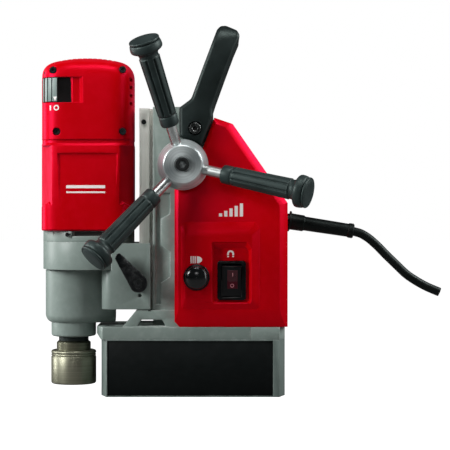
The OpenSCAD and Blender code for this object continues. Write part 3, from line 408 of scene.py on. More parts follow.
finishes = {
    "cast": painted("cast_grey_paint", base=GREY, pale_wear_and_highlight=PALE,
                    roughness=0.40, grain=0.42, rounding=0.0009),
    # magnet base: a darker copy of the cast grey paint, painted shade for the low, less lit base
    "cast_grey_shaded": painted("cast_grey_base_painted_shade", base=(0.115, 0.150, 0.137), pale_wear_and_highlight=(0.34, 0.40, 0.375),
                         roughness=0.46, grain=0.5, rounding=0.0009),
    "red": red_shell("red_shell_plastic"),
    "panel": painted("black_side_panel", base=(0.003, 0.0045, 0.0045), pale_wear_and_highlight=(0.02, 0.024, 0.024),
                     roughness=0.46, grain=0.2, specular=0.10),
    # column: near-white edges are a painted edge highlight, and the box right of the motor bracket holds painted shade
    # of the gap there, fixed on the column wherever the head slides
    "cast_column": paint_shade_in_box(
        painted("cast_grey_column", base=GREY, pale_wear_and_highlight=(0.80, 0.86, 0.82),
                roughness=0.40, grain=0.36, rounding=0.0013),
        strength=0.97, X=(-40.2, -37.5), Y=(-60, -12), Z=(76, 300)),
    # gear flange: painted shade in the slot of the clamp notch
    "cast_flange": paint_shade_in_box(
        painted("cast_grey_flange", base=GREY, pale_wear_and_highlight=PALE,
                roughness=0.40, grain=0.42, rounding=0.0009),
        strength=0.96, X=(-105.5, -79.2), Y=(-60, -20), Z=(143.4, 147.2)),
    # handle bolts: the near-white edge colour paints a highlight ring on each head's chamfer
    "bolt": painted("black_bolt_painted_edge_highlight", base=(0.010, 0.012, 0.012), pale_wear_and_highlight=(0.82, 0.86, 0.85),
                    roughness=0.32, grain=0.2, metallic=0.4, rounding=0.0011),
    # lever: the pale edge colour paints a highlight along its edges
    "lever": painted("black_lever_coat", base=(0.002, 0.0026, 0.003), pale_wear_and_highlight=(0.30, 0.32, 0.32),
                     roughness=0.24, grain=0.15, rounding=0.0008, specular=0.35),
    "rubber": rubber("grip_rubber", base=(0.012, 0.018, 0.018), roughness=0.42, grain=0.45),
    "handle": rubber("handle_rubber", base=(0.006, 0.009, 0.009), roughness=0.44, grain=0.35),
    "cord": rubber("cord_rubber", base=(0.0008, 0.001, 0.0011), roughness=0.40, grain=0.3,
                   specular=0.22),
    "seal": rubber("seal_rubber", base=(0.008, 0.009, 0.009), roughness=0.5, grain=0.3),
    "black": gloss("black_gloss_plastic", base=(0.002, 0.0028, 0.003), roughness=0.09),
    "bezel": gloss("black_bezel_plastic", base=(0.0022, 0.0026, 0.003), roughness=0.17,
                   specular=0.22),
    "lens": gloss("dark_red_lens", base=(0.035, 0.0006, 0.0045), roughness=0.15),
    "slider": painted("grey_slider_plastic", base=(0.18, 0.24, 0.225), pale_wear_and_highlight=(0.45, 0.52, 0.5),
                      roughness=0.4, grain=0.2),
    "white": painted("white_print", base=(0.86, 0.80, 0.78), pale_wear_and_highlight=(0.95, 0.95, 0.95),
                     roughness=0.5, grain=0.1, rounding=0),
    "faint": painted("faint_print", base=(0.42, 0.14, 0.17), pale_wear_and_highlight=(0.6, 0.3, 0.3),
                     roughness=0.5, grain=0.1, rounding=0),
    "oxide": metal("black_oxide_steel", base=(0.055, 0.06, 0.06), dark=(0.015, 0.017, 0.018),
                   roughness=0.36, scale=180, relief=0.2, patina=0.5),
    "rail": metal("ground_rail_steel", base=(0.93, 0.92, 0.86), dark=(0.62, 0.61, 0.55),
                  roughness=0.45, stretch=(1, 1, 0.04), scale=420, anisotropic=0.2,
                  relief=0.2, patina=0.22, metallic=0.05),
    "steel": metal("bright_rod_steel", base=(0.60, 0.63, 0.62), dark=(0.24, 0.27, 0.27),
                   roughness=0.30, scale=260, relief=0.25, patina=0.25),
    "gear": metal("machined_gear_steel", base=(0.50, 0.50, 0.48), dark=(0.22, 0.21, 0.19),
                  roughness=0.32, stretch=(1, 1, 0.2), scale=300, relief=0.25, patina=0.4),
    "bronze": metal("bearing_bronze", base=(0.62, 0.42, 0.18), dark=(0.30, 0.18, 0.07),
                    roughness=0.34, scale=220, relief=0.2, patina=0.35),
    "copper": metal("winding_copper", base=(0.60, 0.24, 0.10), dark=(0.26, 0.09, 0.03),
                    roughness=0.36, stretch=(1, 1, 14), scale=90, relief=0.5, patina=0.35),
    "iron": metal("laminated_iron", base=(0.34, 0.34, 0.33), dark=(0.14, 0.13, 0.12),
                  roughness=0.45, stretch=(0.2, 0.2, 60), scale=40, relief=0.6, patina=0.4),
    "hub": turned("turned_hub_face", base=(0.74, 0.81, 0.81), dark=(0.07, 0.09, 0.095),
                  roughness=0.32, centre=(HUB_X, 0, HUB_Z), axis="Y", ring_scale=950,
                  painted_sheen=0.72, metallic=0.55),
    "chuck": turned("turned_chuck_sleeve", base=(0.33, 0.33, 0.25), dark=(0.06, 0.06, 0.035),
                    roughness=0.40, centre=(SPINDLE_X, 0, 0), axis="Z", ring_scale=500,
                    painted_sheen=0.15),
    "spindle": turned("turned_spindle_nose", base=(0.20, 0.20, 0.145), dark=(0.045, 0.045, 0.026),
                      roughness=0.38, centre=(SPINDLE_X, 0, 0), axis="Z", ring_scale=700,
                      painted_sheen=0.2),
    "resin": painted("coil_resin", base=(0.012, 0.015, 0.02), pale_wear_and_highlight=(0.08, 0.09, 0.1),
                     roughness=0.5, grain=0.6),
    "board": painted("circuit_board", base=(0.02, 0.11, 0.05), pale_wear_and_highlight=(0.3, 0.4, 0.3),
                     roughness=0.4, grain=0.3),
    "brown": painted("brush_board", base=(0.06, 0.035, 0.02), pale_wear_and_highlight=(0.2, 0.15, 0.1),
                     roughness=0.5, grain=0.4),
    "carbon": painted("carbon_block", base=(0.02, 0.02, 0.021), pale_wear_and_highlight=(0.06, 0.06, 0.06),
                      roughness=0.5, grain=0.6),
}
materials = {key: finish.material for key, finish in finishes.items()}

# ------------------------------------------------------------------ CAD pieces
# finish -> CAD pieces that wear it; all others are black oxide
WEARERS = {
    "cast_grey_shaded": "magnet_housing",
    "cast_column": "column_frame",
    "cast": "motor_bracket gearbox_lower",
    "cast_flange": "gearbox_upper motor_end_plate",
    "panel": "magnet_side_plates",
    "copper": "magnet_coil field_coils commutator",
    "resin": "coil_potting",
    "red": "control_housing_front control_housing_rear motor_can tail_front tail_rear",
    "rubber": "feed_grips grip_end_caps",
    "handle": "carry_handle",
    "cord": "strain_relief power_cord",
    "seal": "shaft_seal",
    "bezel": "rocker_bezel button_bezel rocker_switch cooling_fan",
    "black": "push_button",
    "lever": "clamp_lever",
    "rail": "slide_rail",
    "bolt": "handle_bolts",
    "steel": "feed_spokes",
    "gear": "pinion_shaft armature_shaft feed_rack spindle_gear intermediate_gear"
            " armature_bearings spindle_bearings",
    "hub": "feed_hub",
    "chuck": "chuck_sleeve chuck_body",
    "spindle": "spindle",
    "bronze": "gib_strip feed_bushes",
    "iron": "stator_core armature_core",
    "brown": "brush_holders",
    "carbon": "carbon_brushes",
    "board": "control_board",
    "slider": "switch_slider",
}
# edge rounding of CAD pieces, mm
EDGE_RADIUS = {
    "magnet_housing": 0.9, "column_frame": 0.9, "motor_bracket": 1.0, "gearbox_lower": 0.8,
    "gearbox_upper": 0.8, "motor_end_plate": 0.6, "magnet_side_plates": 0.5,
    "control_housing_front": 0.8, "control_housing_rear": 0.8, "motor_can": 0.9,
    "clamp_lever": 0.9, "chuck_sleeve": 0.35, "rocker_bezel": 0.7, "rocker_switch": 0.5,
    "slide_rail": 0.4, "switch_slider": 0.35, "feed_hub": 0.3, "button_bezel": 0.5,
    "handle_bolts": 0.6, "hub_screw": 0.3,
}


def shade(obj, degrees):
    """Smooth shading, broken at edges sharper than the angle."""
    obj.data.shade_smooth()
    # the operator needs an asset shipped with Blender; without it the piece stays plain smooth
    try:
        with bpy.context.temp_override(object=obj, active_object=obj, selected_objects=[obj],
                                       selected_editable_objects=[obj]):
            bpy.ops.object.shade_auto_smooth(angle=math.radians(degrees))
    except Exception:
        pass


def set_material(obj, key):
    obj.data.materials.clear()
    obj.data.materials.append(materials[key])


def add_bevel(obj, width, segments, degrees):
    bevel = obj.modifiers.new("edges", "BEVEL")
    bevel.width = width * MM
    bevel.segments = segments
    bevel.limit_method = "ANGLE"
    bevel.angle_limit = math.radians(degrees)
    return bevel


def dress_cad_pieces():
    finish_of = {piece: key for key, pieces in WEARERS.items() for piece in pieces.split()}
    for name, obj in nodes.items():
        set_material(obj, finish_of.get(name, "oxide"))
        if name in EDGE_RADIUS:
            weld = obj.modifiers.new("weld", "WELD")
            weld.merge_threshold = 0.000004
            bevel = add_bevel(obj, width=EDGE_RADIUS[name], segments=2, degrees=32)
            bevel.use_clamp_overlap = True
            bevel.miter_outer = "MITER_ARC"
        shade(obj, 34)


# ------------------------------------------------------------------ (x, z) outlines
def circle(cx, cz, radius, steps=32, start=0, end=360):
    """Full circle, or an arc with both of its ends."""
    count = steps if abs(end - start) >= 360 else steps + 1
    angles = [math.radians(start + (end - start) * i / steps) for i in range(count)]
    return [(cx + radius * math.cos(a), cz + radius * math.sin(a)) for a in angles]


def rectangle(x0, x1, z0, z1):
    return [(x0, z0), (x1, z0), (x1, z1), (x0, z1)]


def rounded(outline, radii, steps=5):
    """Rounds the corners of an outline, with one radius per point."""
    out = []
    for i, radius in enumerate(radii):
        before, corner, after = (Vector(outline[k % len(outline)]) for k in (i - 1, i, i + 1))
        u, v = before - corner, after - corner
        u_length, v_length = u.length, v.length
        u.normalize()
        v.normalize()
        half = math.acos(max(-1, min(1, u.dot(v)))) / 2
        reach = min(radius / max(math.tan(half), 1e-6), 0.48 * u_length, 0.48 * v_length)
        if radius <= 0 or reach < 1e-4:
            out.append(tuple(corner))
            continue
        p, q = corner + u * reach, corner + v * reach
        for k in range(steps + 1):
            t = k / steps
            point = (1 - t) ** 2 * p + 2 * (1 - t) * t * corner + t * t * q
            out.append((point.x, point.y))
    return out


def winding(points):
    """1 for a counter-clockwise outline, -1 for a clockwise one."""
    following = points[1:] + points[:1]
    area = sum(a[0] * b[1] - b[0] * a[1] for a, b in zip(points, following))
    return 1 if area > 0 else -1


def inset(points, distance):
    """Moves every side of an outline inwards."""
    sign = winding(points)
    out = []
    for i in range(len(points)):
        a, b, c = (Vector(points[k % len(points)]) for k in (i - 1, i, i + 1))
        u, v = (b - a).normalized(), (c - b).normalized()
        normal_u, normal_v = Vector((-u.y, u.x)) * sign, Vector((-v.y, v.x)) * sign
        w = (normal_u + normal_v) / max(0.3, 1 + normal_u.dot(normal_v))
        out.append(tuple(b + w * distance))
    return out


def is_convex(points, i):
    a, b, c = (Vector(points[k % len(points)]) for k in (i - 1, i, i + 1))
    u, v = b - a, c - b
    return (u.x * v.y - u.y * v.x) * winding(points) > 0


def soft_ring(points, radii, distance):
    """Rounded outline moved inwards, always with the same number of points."""
    new_radii = [max(0.35, r - distance if is_convex(points, i) else r + distance)
                 for i, r in enumerate(radii)]
    return rounded(inset(points, distance) if distance > 1e-6 else points, new_radii, 6)


# ------------------------------------------------------------------ parts
# A part is (vertices in mm, faces).
def transform(part, matrix):
    verts, faces = part
    return [tuple(matrix @ Vector(v)) for v in verts], faces


def mirrored(part, x=None, y=None):
    """Mirror image across the plane at x, at y, or both."""
    verts, faces = part
    verts = [((2 * x - v[0]) if x is not None else v[0],
              (2 * y - v[1]) if y is not None else v[1], v[2]) for v in verts]
    return verts, [tuple(reversed(face)) for face in faces]


def rotation(degrees, axis):
    return Matrix.Rotation(math.radians(degrees), 4, axis)


def loft(rings):
    """Closed solid through rings of equal length, ends filled."""
    n, count = len(rings[0]), len(rings)
    faces = []
    for k in range(count - 1):
        for i in range(n):
            j = (i + 1) % n
            faces.append((k * n + i, k * n + j, (k + 1) * n + j, (k + 1) * n + i))
    faces.append(tuple(reversed(range(n))))
    faces.append(tuple(range((count - 1) * n, count * n)))
    return [point for ring in rings for point in ring], faces


def lathe(profile, segments=48, shape=None):
    """Closed solid of revolution about Z from (z, radius) rows.

    shape(z, angle, radius) may change the radius."""
    verts, faces, rings = [], [], []
    for z, radius in profile:
        first = len(verts)
        if radius <= 1e-6:
            verts.append((0, 0, z))
        else:
            for i in range(segments):
                a = 2 * math.pi * i / segments
                r = shape(z, a, radius) if shape else radius
                verts.append((r * math.cos(a), r * math.sin(a), z))
        rings.append(list(range(first, len(verts))))
    for low, high in zip(rings, rings[1:]):
        if len(low) == 1 and len(high) == 1:
            continue
        for i in range(segments):
            j = (i + 1) % segments
            if len(low) == 1:
                faces.append((low[0], high[i], high[j]))
            elif len(high) == 1:
                faces.append((low[i], low[j], high[0]))
            else:
                faces.append((low[i], low[j], high[j], high[i]))
    return verts, faces


def sweep(path, radii, segments):
    """Closed round tube along path points, with a radius at each."""
    verts, faces, rings = [], [], []
    last = len(path) - 1
    up = None
    for k, point in enumerate(path):
        along = (path[min(k + 1, last)] - path[max(k - 1, 0)]).normalized()
        if up is None:
            up = Vector((0, 1, 0)) if abs(along.y) < 0.9 else Vector((1, 0, 0))
        side = along.cross(up).normalized()
        up = side.cross(along).normalized()
        first = len(verts)
        for i in range(segments):
            a = 2 * math.pi * i / segments
            verts.append(tuple(point + (side * math.cos(a) + up * math.sin(a)) * radii[k]))
        rings.append(list(range(first, first + segments)))
    for low, high in zip(rings, rings[1:]):
        for i in range(segments):
            j = (i + 1) % segments
            faces.append((low[i], low[j], high[j], high[i]))
    faces.append(tuple(reversed(rings[0])))
    faces.append(tuple(rings[-1]))
    return verts, faces


def catmull(points, steps):
    """Catmull-Rom curve through the points."""
    out = []
    p = [Vector(point) for point in points]
    p = [2 * p[0] - p[1]] + p + [2 * p[-1] - p[-2]]
    for k in range(1, len(p) - 2):
        a, b, c, d = p[k - 1:k + 3]
        for i in range(steps):
            t = i / steps
            out.append(0.5 * ((2 * b) + (c - a) * t + (2 * a - 5 * b + 4 * c - d) * t * t
                              + (3 * b - a - 3 * c + d) * t ** 3))
    out.append(p[-2])
    return out


def plate(outline, y0, y1):
    """Prism between two Y planes from an (x, z) outline."""
    n = len(outline)
    verts = [(x, y, z) for y in (y0, y1) for x, z in outline]
    faces = [tuple(range(n)), tuple(reversed(range(n, 2 * n)))]
    faces += [(i, n + i, n + (i + 1) % n, (i + 1) % n) for i in range(n)]
    return verts, faces


def soft_slab(points, radii, y0, y1, edge, steps=5):
    """Closed plate from y0 to y1 with both rims rounded by edge."""
    rings = []
    for k in range(steps + 1):
        a = math.radians(90 * k / steps)
        y = y0 + edge - edge * math.sin(math.radians(90) - a)
        rings.append([(x, y, z) for x, z in soft_ring(points, radii, edge - edge * math.sin(a))])
    for k in range(steps + 1):
        a = math.radians(90 * k / steps)
        y = y1 - edge + edge * math.sin(a)
        rings.append([(x, y, z) for x, z in soft_ring(points, radii, edge - edge * math.cos(a))])
    return loft(rings)


def box(x_span, y_span, z_span):
    (x0, x1), (y0, y1) = x_span, y_span
    verts = [(x, y, z) for z in z_span for x, y in ((x0, y0), (x1, y0), (x1, y1), (x0, y1))]
    return verts, [(0, 3, 2, 1), (4, 5, 6, 7), (0, 1, 5, 4), (1, 2, 6, 5), (2, 3, 7, 6),
                   (3, 0, 4, 7)]


def triangles(points):
    return [tuple(t) for t in tessellate_polygon([[Vector((a, b, 0)) for a, b in points]])]


def upright_prism(points, bottom, top):
    """Prism over (x, y) points; bottom is one height or one per point."""
    n = len(points)
    bottoms = bottom if isinstance(bottom, list) else [bottom] * n
    verts = [(x, y, z) for (x, y), z in zip(points, bottoms)] + [(x, y, top) for x, y in points]
    faces = [(i, (i + 1) % n, n + (i + 1) % n, n + i) for i in range(n)]
    caps = triangles(points)
    faces += caps + [tuple(n + i for i in reversed(t)) for t in caps]
    return verts, faces


def rod(centre, radius, span, segments=40, axis="Y"):
    """Cylinder along an axis; centre holds the other two coordinates, in XYZ order."""
    start, end = span
    a, b = centre
    part = lathe([(start, 0), (start, radius), (end, radius), (end, 0)], segments)
    turn = {"Y": rotation(-90, "X"), "X": rotation(90, "Y"), "Z": Matrix.Identity(4)}[axis]
    place = {"Y": (a, 0, b), "X": (0, a, b), "Z": (a, b, 0)}[axis]
    return transform(part, Matrix.Translation(place) @ turn)


def superellipse(half_width, half_depth, z, power, count=120):
    """Level ring about the motor axis."""
    out = []
    for i in range(count):
        t = 2 * math.pi * (i + 0.5) / count
        c, s = math.cos(t), math.sin(t)
        out.append((MOTOR_X + half_width * math.copysign(abs(c) ** (2 / power), c),
                    half_depth * math.copysign(abs(s) ** (2 / power), s), z))
    return out


# ------------------------------------------------------------------ objects from parts
def new_object(name, verts, faces):
    """Object with outward normals; vertices are in metres."""
    mesh = bpy.data.meshes.new(name)
    mesh.from_pydata(verts, [], faces)
    bm = bmesh.new()
    bm.from_mesh(mesh)
    bmesh.ops.recalc_face_normals(bm, faces=bm.faces)
    bm.to_mesh(mesh)
    bm.free()
    obj = bpy.data.objects.new(name, mesh)
    bpy.context.scene.collection.objects.link(obj)
    return obj


def join_parts(name, parts, material, smooth):
    """One finished object from several parts."""
    verts, faces = [], []
    for part_verts, part_faces in parts:
        first = len(verts)
        verts += [tuple(Vector(v) * MM) for v in part_verts]
        faces += [tuple(i + first for i in face) for face in part_faces]
    obj = new_object(name, verts, faces)
    obj.data.materials.append(material)
    shade(obj, smooth)
    return obj


def draft(part):
    """Unfinished object, for booleans."""
    verts, faces = part
    return new_object("draft", [(x * MM, y * MM, z * MM) for x, y, z in verts], faces)


def cut(obj, parts, operation="DIFFERENCE"):
    """Applies one exact boolean after another."""
    for part in parts:
        cutter = draft(part)
        modifier = obj.modifiers.new("cut", "BOOLEAN")
        modifier.operation = operation
        modifier.solver = "EXACT"
        modifier.object = cutter
        depsgraph = bpy.context.evaluated_depsgraph_get()
        mesh = bpy.data.meshes.new_from_object(obj.evaluated_get(depsgraph))
        obj.modifiers.clear()
        old_mesh, cutter_mesh = obj.data, cutter.data
        obj.data = mesh
        bpy.data.meshes.remove(old_mesh)
        bpy.data.objects.remove(cutter)
        bpy.data.meshes.remove(cutter_mesh)


def complete(obj, name, key, smooth):
    """Cleans, names and shades a boolean result."""
    weld = 0.00001
    bm = bmesh.new()
    bm.from_mesh(obj.data)
    bmesh.ops.remove_doubles(bm, verts=bm.verts, dist=weld)
    bmesh.ops.dissolve_degenerate(bm, edges=bm.edges, dist=weld)
    bmesh.ops.recalc_face_normals(bm, faces=bm.faces)
    bm.to_mesh(obj.data)
    bm.free()
    obj.name = name
    obj.data.name = name
    set_material(obj, key)
    shade(obj, smooth)


# ------------------------------------------------------------------ feed wheel
SPOKE_Y, FIRST_SPOKE, SPOKE_LEAN = -46.8, 107, -21.7    # mm, degrees, degrees
GRIP_LANDS = 8
GROOVE_DEPTH, GROOVE_HALF_WIDTH = 1.55, 0.26            # mm, share of half a land pitch
GRIP_ROWS = 34

# (distance along the spoke, radius)
GRIP_COLLAR = [
    (106.1, 0), (106.1, 4.72), (38.6, 4.72), (38.6, 5.6), (39.0, 6.9), (39.8, 7.9), (40.8, 8.25),
    (47.6, 8.25), (48.3, 8.0), (48.7, 7.6), (49.2, 7.6), (49.7, 8.1)]
GRIP_BULB = [
    (103.5, 9.35), (103.9, 8.7), (104.5, 8.55), (106.6, 8.7), (107.8, 9.3), (108.8, 10.5),
    (109.6, 12.0), (110.4, 13.3), (111.3, 14.1), (112.4, 14.4), (114.5, 14.3), (116.6, 13.95),
    (117.7, 13.5), (118.1, 12.9), (118.1, 0)]
GRIP_CAP = [
    (118.15, 0), (118.15, 12.2), (118.5, 13.1), (119.1, 13.5), (120.0, 13.5), (120.6, 13.1),
    (120.8, 12.5), (120.45, 12.1), (120.45, 11.6), (120.8, 11.2), (121.2, 9.0), (121.45, 5),
    (121.5, 0)]
# (distance in front of y = 0, radius)
HUB_SIDE = [
    (46, 0), (46, 22.0), (46.5, 22.6), (50.0, 22.6), (50.9, 22.3), (52.2, 21.6), (57.6, 18.3),
    (58.6, 17.5), (59.0, 17.0), (59.0, 16.5), (59.5, 16.5), (59.7, 17.0), (63.0, 17.0),
    (63.7, 16.7), (64.0, 16.2)]


def on_spokes(part):
    """Three copies of a part, turned from Z onto the leaning spokes."""
    return [transform(part, Matrix.Translation((HUB_X, SPOKE_Y, HUB_Z))
                      @ rotation(-(FIRST_SPOKE + 120 * i), "Y") @ rotation(SPOKE_LEAN, "Z")
                      @ rotation(90, "Y")) for i in range(3)]


def grip_grooves(z, angle, radius):
    """Narrow round-bottomed grooves between the lands, running out at the collar end."""
    if not 50.2 < z < 103.4:
        return radius
    lead = min(1, max(0, (z - 50.0) / 2.6))
    lead = math.sqrt(max(0, 1 - (1 - lead) ** 2))
    turn = (angle / (2 * math.pi) * GRIP_LANDS) % 1.0
    off = abs(turn - 0.5) / 0.5
    depth = 0 if off > GROOVE_HALF_WIDTH else (1 - (off / GROOVE_HALF_WIDTH) ** 2) ** 0.5
    return radius - GROOVE_DEPTH * depth * lead


def build_grips():
    lands = [(49.9 + 53.3 * k / GRIP_ROWS, 8.35 + 0.95 * k / GRIP_ROWS)
             for k in range(GRIP_ROWS + 1)]
    sleeve = lathe(GRIP_COLLAR + lands + GRIP_BULB, 128, grip_grooves)
    grips = join_parts("grip_sleeves", on_spokes(sleeve), materials["rubber"], 50)
    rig.ride(grips, "feed_crank")
    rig.replaces(grips, "feed_grips")
    caps = join_parts("grip_end_discs", on_spokes(lathe(GRIP_CAP, 72)), materials["rubber"], 40)
    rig.ride(caps, "feed_crank")
    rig.replaces(caps, "grip_end_caps")


def build_hub():
    profile = list(HUB_SIDE)
    radius = 16.2
    while radius > 7.6:     # fine rings turned into the face
        profile += [(64.0, radius), (63.93, radius - 0.28), (64.0, radius - 0.56)]
        radius -= 0.9
    profile += [(64.0, 7.2), (63.3, 6.9), (63.3, 0)]
    hub = draft(transform(lathe(profile, 128),
                          Matrix.Translation((HUB_X, 0, HUB_Z)) @ rotation(90, "X")))
    complete(hub, "feed_wheel_hub", "hub", 24)
    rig.ride(hub, "feed_crank")
    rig.replaces(hub, "feed_hub")


# ------------------------------------------------------------------ power cord and its boot
CORD_RADIUS, CORD_END_RADIUS = 4.05, 4.0
CORD_POINTS = [     # (x, z) from the boot down to the right
    (86.5, 156.3), (116, 151.6), (146.5, 146.7), (157.3, 142.4), (166.6, 134.9), (175.8, 125.6),
    (185.4, 116.3), (194.4, 107.8), (204, 101.3), (213.4, 96.2), (224.7, 91.4)]
BOOT_PROFILE = [    # (distance along the boot, radius)
    (1.9, 0), (1.9, 9.0), (2.3, 9.4), (3.2, 9.4), (3.8, 8.6), (4.2, 7.5), (14.8, 7.35),
    (15.8, 7.2), (16.3, 6.6), (17.2, 6.45), (34.0, 6.3), (56.6, 6.05), (57.2, 6.5),
    (57.9, 6.75), (61.2, 6.75), (62.0, 6.0), (62.2, 4.9), (62.2, 0)]


def build_cord():
    path = catmull([(x, 0, z) for x, z in CORD_POINTS], 8)
    radii = [CORD_RADIUS] * (len(path) - 1) + [CORD_END_RADIUS]
    cord = join_parts("cord_run", [sweep(path, radii, 28)], materials["cord"], 60)
    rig.ride(cord, "press_frame")
    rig.replaces(cord, "power_cord")


def build_cord_boot():
    """Solid boot; the cord runs into it without a bore."""
    boot = draft(transform(lathe(BOOT_PROFILE, 56),
                           Matrix.Translation((84.9, 0, 156.6)) @ rotation(98.8, "Y")))
    root = (0, 156.3)
    cut(boot, [rod(root, 6.9, (77.5, 89), 48, "X"), rod(root, 9.3, (77.6, 81.3), 48, "X")],
        "UNION")
    complete(boot, "cord_boot", "cord", 34)
    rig.ride(boot, "press_frame")
    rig.replaces(boot, "strain_relief")


# ------------------------------------------------------------------ motor can
CAN_RINGS = [   # (z, inset)
    (148, 1.2), (148.4, 0.5), (149.2, 0), (170, 0), (223.4, 0), (224.4, 0.25), (226.4, 1.0),
    (228.6, 1.1), (229.45, 0.8)]


def build_motor_can():
    can = draft(loft([superellipse(41.3 - d * 0.45, 41.5 - d * 1.9, z, 5.2)
                      for z, d in CAN_RINGS]))
    # facet along an upright corner, and the sloping flat on the front
    corner = upright_prism([(-138.5, -14.5), (-127.6, -36.6), (-123.4, -43.2), (-140, -43.2)],
                           [168, 174.3, 167.6, 166], 224.2)
    opposite = mirrored(corner, x=MOTOR_X)
    y, z = CAN_FLAT_TOP
    wedge = ([(-119.3, y, z), (-67.6, y, z), (-64.6, -43, 218.4), (-122.6, -43, 218.4),
              (-118.2, -41.5, 166), (-68.6, -41.5, 166), (-65.6, -43.6, 160),
              (-121.6, -43.6, 160)],
             [(0, 1, 2, 3), (4, 7, 6, 5), (0, 4, 5, 1), (1, 5, 6, 2), (2, 6, 7, 3), (3, 7, 4, 0)])
    cut(can, [corner, opposite, mirrored(corner, y=0), mirrored(opposite, y=0),
              wedge, mirrored(wedge, y=0), rod((MOTOR_X, 0), 36.5, (140, 235), 64, "Z")])
    complete(can, "motor_body_shell", "red", 26)
    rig.ride(can, "drill_head")
    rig.replaces(can, "motor_can")


# ------------------------------------------------------------------ motor tail
TAIL_RINGS = [  # (z, half width, half depth)
    (229.6, TAIL_HALF_WIDTH, TAIL_HALF_DEPTH), (231, TAIL_HALF_WIDTH, TAIL_HALF_DEPTH),
    (262, TAIL_HALF_WIDTH, TAIL_HALF_DEPTH), (283, 41.3, 41.2), (288, 41.1, 40.8),
    (291, 40.6, 40.2), (293.6, 39.6, 39.3), (295.6, 38.2, 38.1), (297.2, 36.6, 36.7),
    (298.7, 34.2, 34.9), (299.8, 31.4, 33.0), (300.9, 27.2, 30.6), (301.9, 22.2, 27.6),
    (302.7, 17.0, 24.0), (303.3, 11.6, 19.0), (303.75, 6.6, 13.5), (304.0, 2.6, 7.0)]
TAIL_WALL = 3.2
TAIL_SCREWS = [(-124.8, 291.5), (-62.6, 292), (-121.3, 236.5), (-62.6, 236.6)]  # (x, z)
WINDOW_SPAN = (262.4, 285.1)    # z of the opening round the thumb slider


def tail_solid(offset=0.0, base_z=229.6):
    rings = []
    for k, (z, half_width, half_depth) in enumerate(TAIL_RINGS):
        power = TAIL_POWER if z < 290 else TAIL_POWER - (z - 290) * 0.09
        rings.append(superellipse(max(0.6, half_width - offset), max(0.6, half_depth - offset),
                                  z - offset if k else base_z, power, 132))
    return loft(rings)


def tail_half(y_span):
    """Hollow half of the tail."""
    half = draft(tail_solid())
    cut(half, [tail_solid(TAIL_WALL, 228.0)])
    cut(half, [box((-150, -40), y_span, (220, 320))], "INTERSECT")
    return half


def tail_vents():
    """Slots in the front right corner."""
    place = Matrix.Translation((-55.6, -25.0, 0)) @ rotation(-12, "Z")
    return [transform(box((-4, 3), (-4.6, 4.6), (z, z + 3.3)), place)
            for z in (281.8, 274.7, 267.6, 260.4)]


def tail_top_slots():
    """Slots across the crown, following its curve."""
    slots = []
    for i in range(11):
        x = MOTOR_X - 23 + 4.6 * i
        top = 304 - ((x - MOTOR_X) / 22.2) ** 2 * 2.1
        slots.append(box((x - 1.0, x + 1.0), (-34, 34), (top - 1.3, top + 4)))
    return slots


def build_tail():
    front = tail_half((-60, -0.04))
    recess = upright_prism([(-110.8, -30), (-110.8, -36.6), (-107.2, -38.7), (-100.6, -38.7),
                            (-97.4, -41.6), (-95.6, -44), (-110.8, -44)], *WINDOW_SPAN)
    windows = [box((-140, -110.7), (-44, -32.5), WINDOW_SPAN),
               box((-140, -131.6), (-44, -24), WINDOW_SPAN)]
    cut(front, [recess] + windows + tail_vents() + tail_top_slots())
    cut(front, [rod(place, 3.55, (-45, -34.0), 36) for place in TAIL_SCREWS])
    cut(front, [rod((MOTOR_X, 0), 6.2, (262, 285), 40, "Z")])
    complete(front, "tail_shell_front", "red", 26)
    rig.ride(front, "drill_head")
    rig.replaces(front, "tail_front")

    rear = tail_half((0.04, 60))
    back_slots = [box((-120, -72), (36, 46), (244 + 6 * i, 246.6 + 6 * i)) for i in range(6)]
    cut(rear, [mirrored(vent, y=0) for vent in tail_vents()] + tail_top_slots() + back_slots)
    complete(rear, "tail_shell_rear", "red", 26)
    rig.ride(rear, "drill_head")
    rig.replaces(rear, "tail_rear")

    # dark sheets behind the window and the vents: painted shade for the inside of the tail
    shade_sheets = join_parts("tail_shade_sheets", [
        box((-133.2, -98), (-31.6, -30.8), (256, 290)),
        box((-60.9, -60.3), (-34, 34), (255, 292)),
        box((-126, -66), (-31, 31), (295.6, 296.2)),
        box((-122, -70), (33.4, 34), (240, 282))], materials["carbon"], 30)
    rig.ride(shade_sheets, "drill_head")


def build_thumb_slider():
    """Curved cap on the front left corner of the tail, with three grooves."""
    rows = [    # (z, half width, half depth)
        (263.2, 41.0, 41.15), (263.8, SLIDER_HALF_WIDTH, SLIDER_HALF_DEPTH),
        (283.8, SLIDER_HALF_WIDTH, SLIDER_HALF_DEPTH), (284.4, 41.0, 41.15)]
    slider = draft(loft([superellipse(width, depth, z, TAIL_POWER, 132)
                         for z, width, depth in rows]))
    kept = [(-140, -60), (-121.0, -60), (-121.0, -36), (-126.3, -33.1), (-133.5, -33.0),
            (-133.7, -28), (-140, -28)]
    cut(slider, [upright_prism(kept, 260, 288)], "INTERSECT")
    grooves = ((-134.2, -31.0), (-130.4, -34.2), (-126.4, -36.4))   # (left edge x, floor y)
    cut(slider, [upright_prism([(x, -60), (x + 1.5, -60), (x + 1.2, y), (x + 0.3, y)], 260, 288)
                 for x, y in grooves])
    complete(slider, "switch_thumb_slider", "slider", 26)
    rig.ride(slider, "motor_switch")
    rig.replaces(slider, "switch_slider")


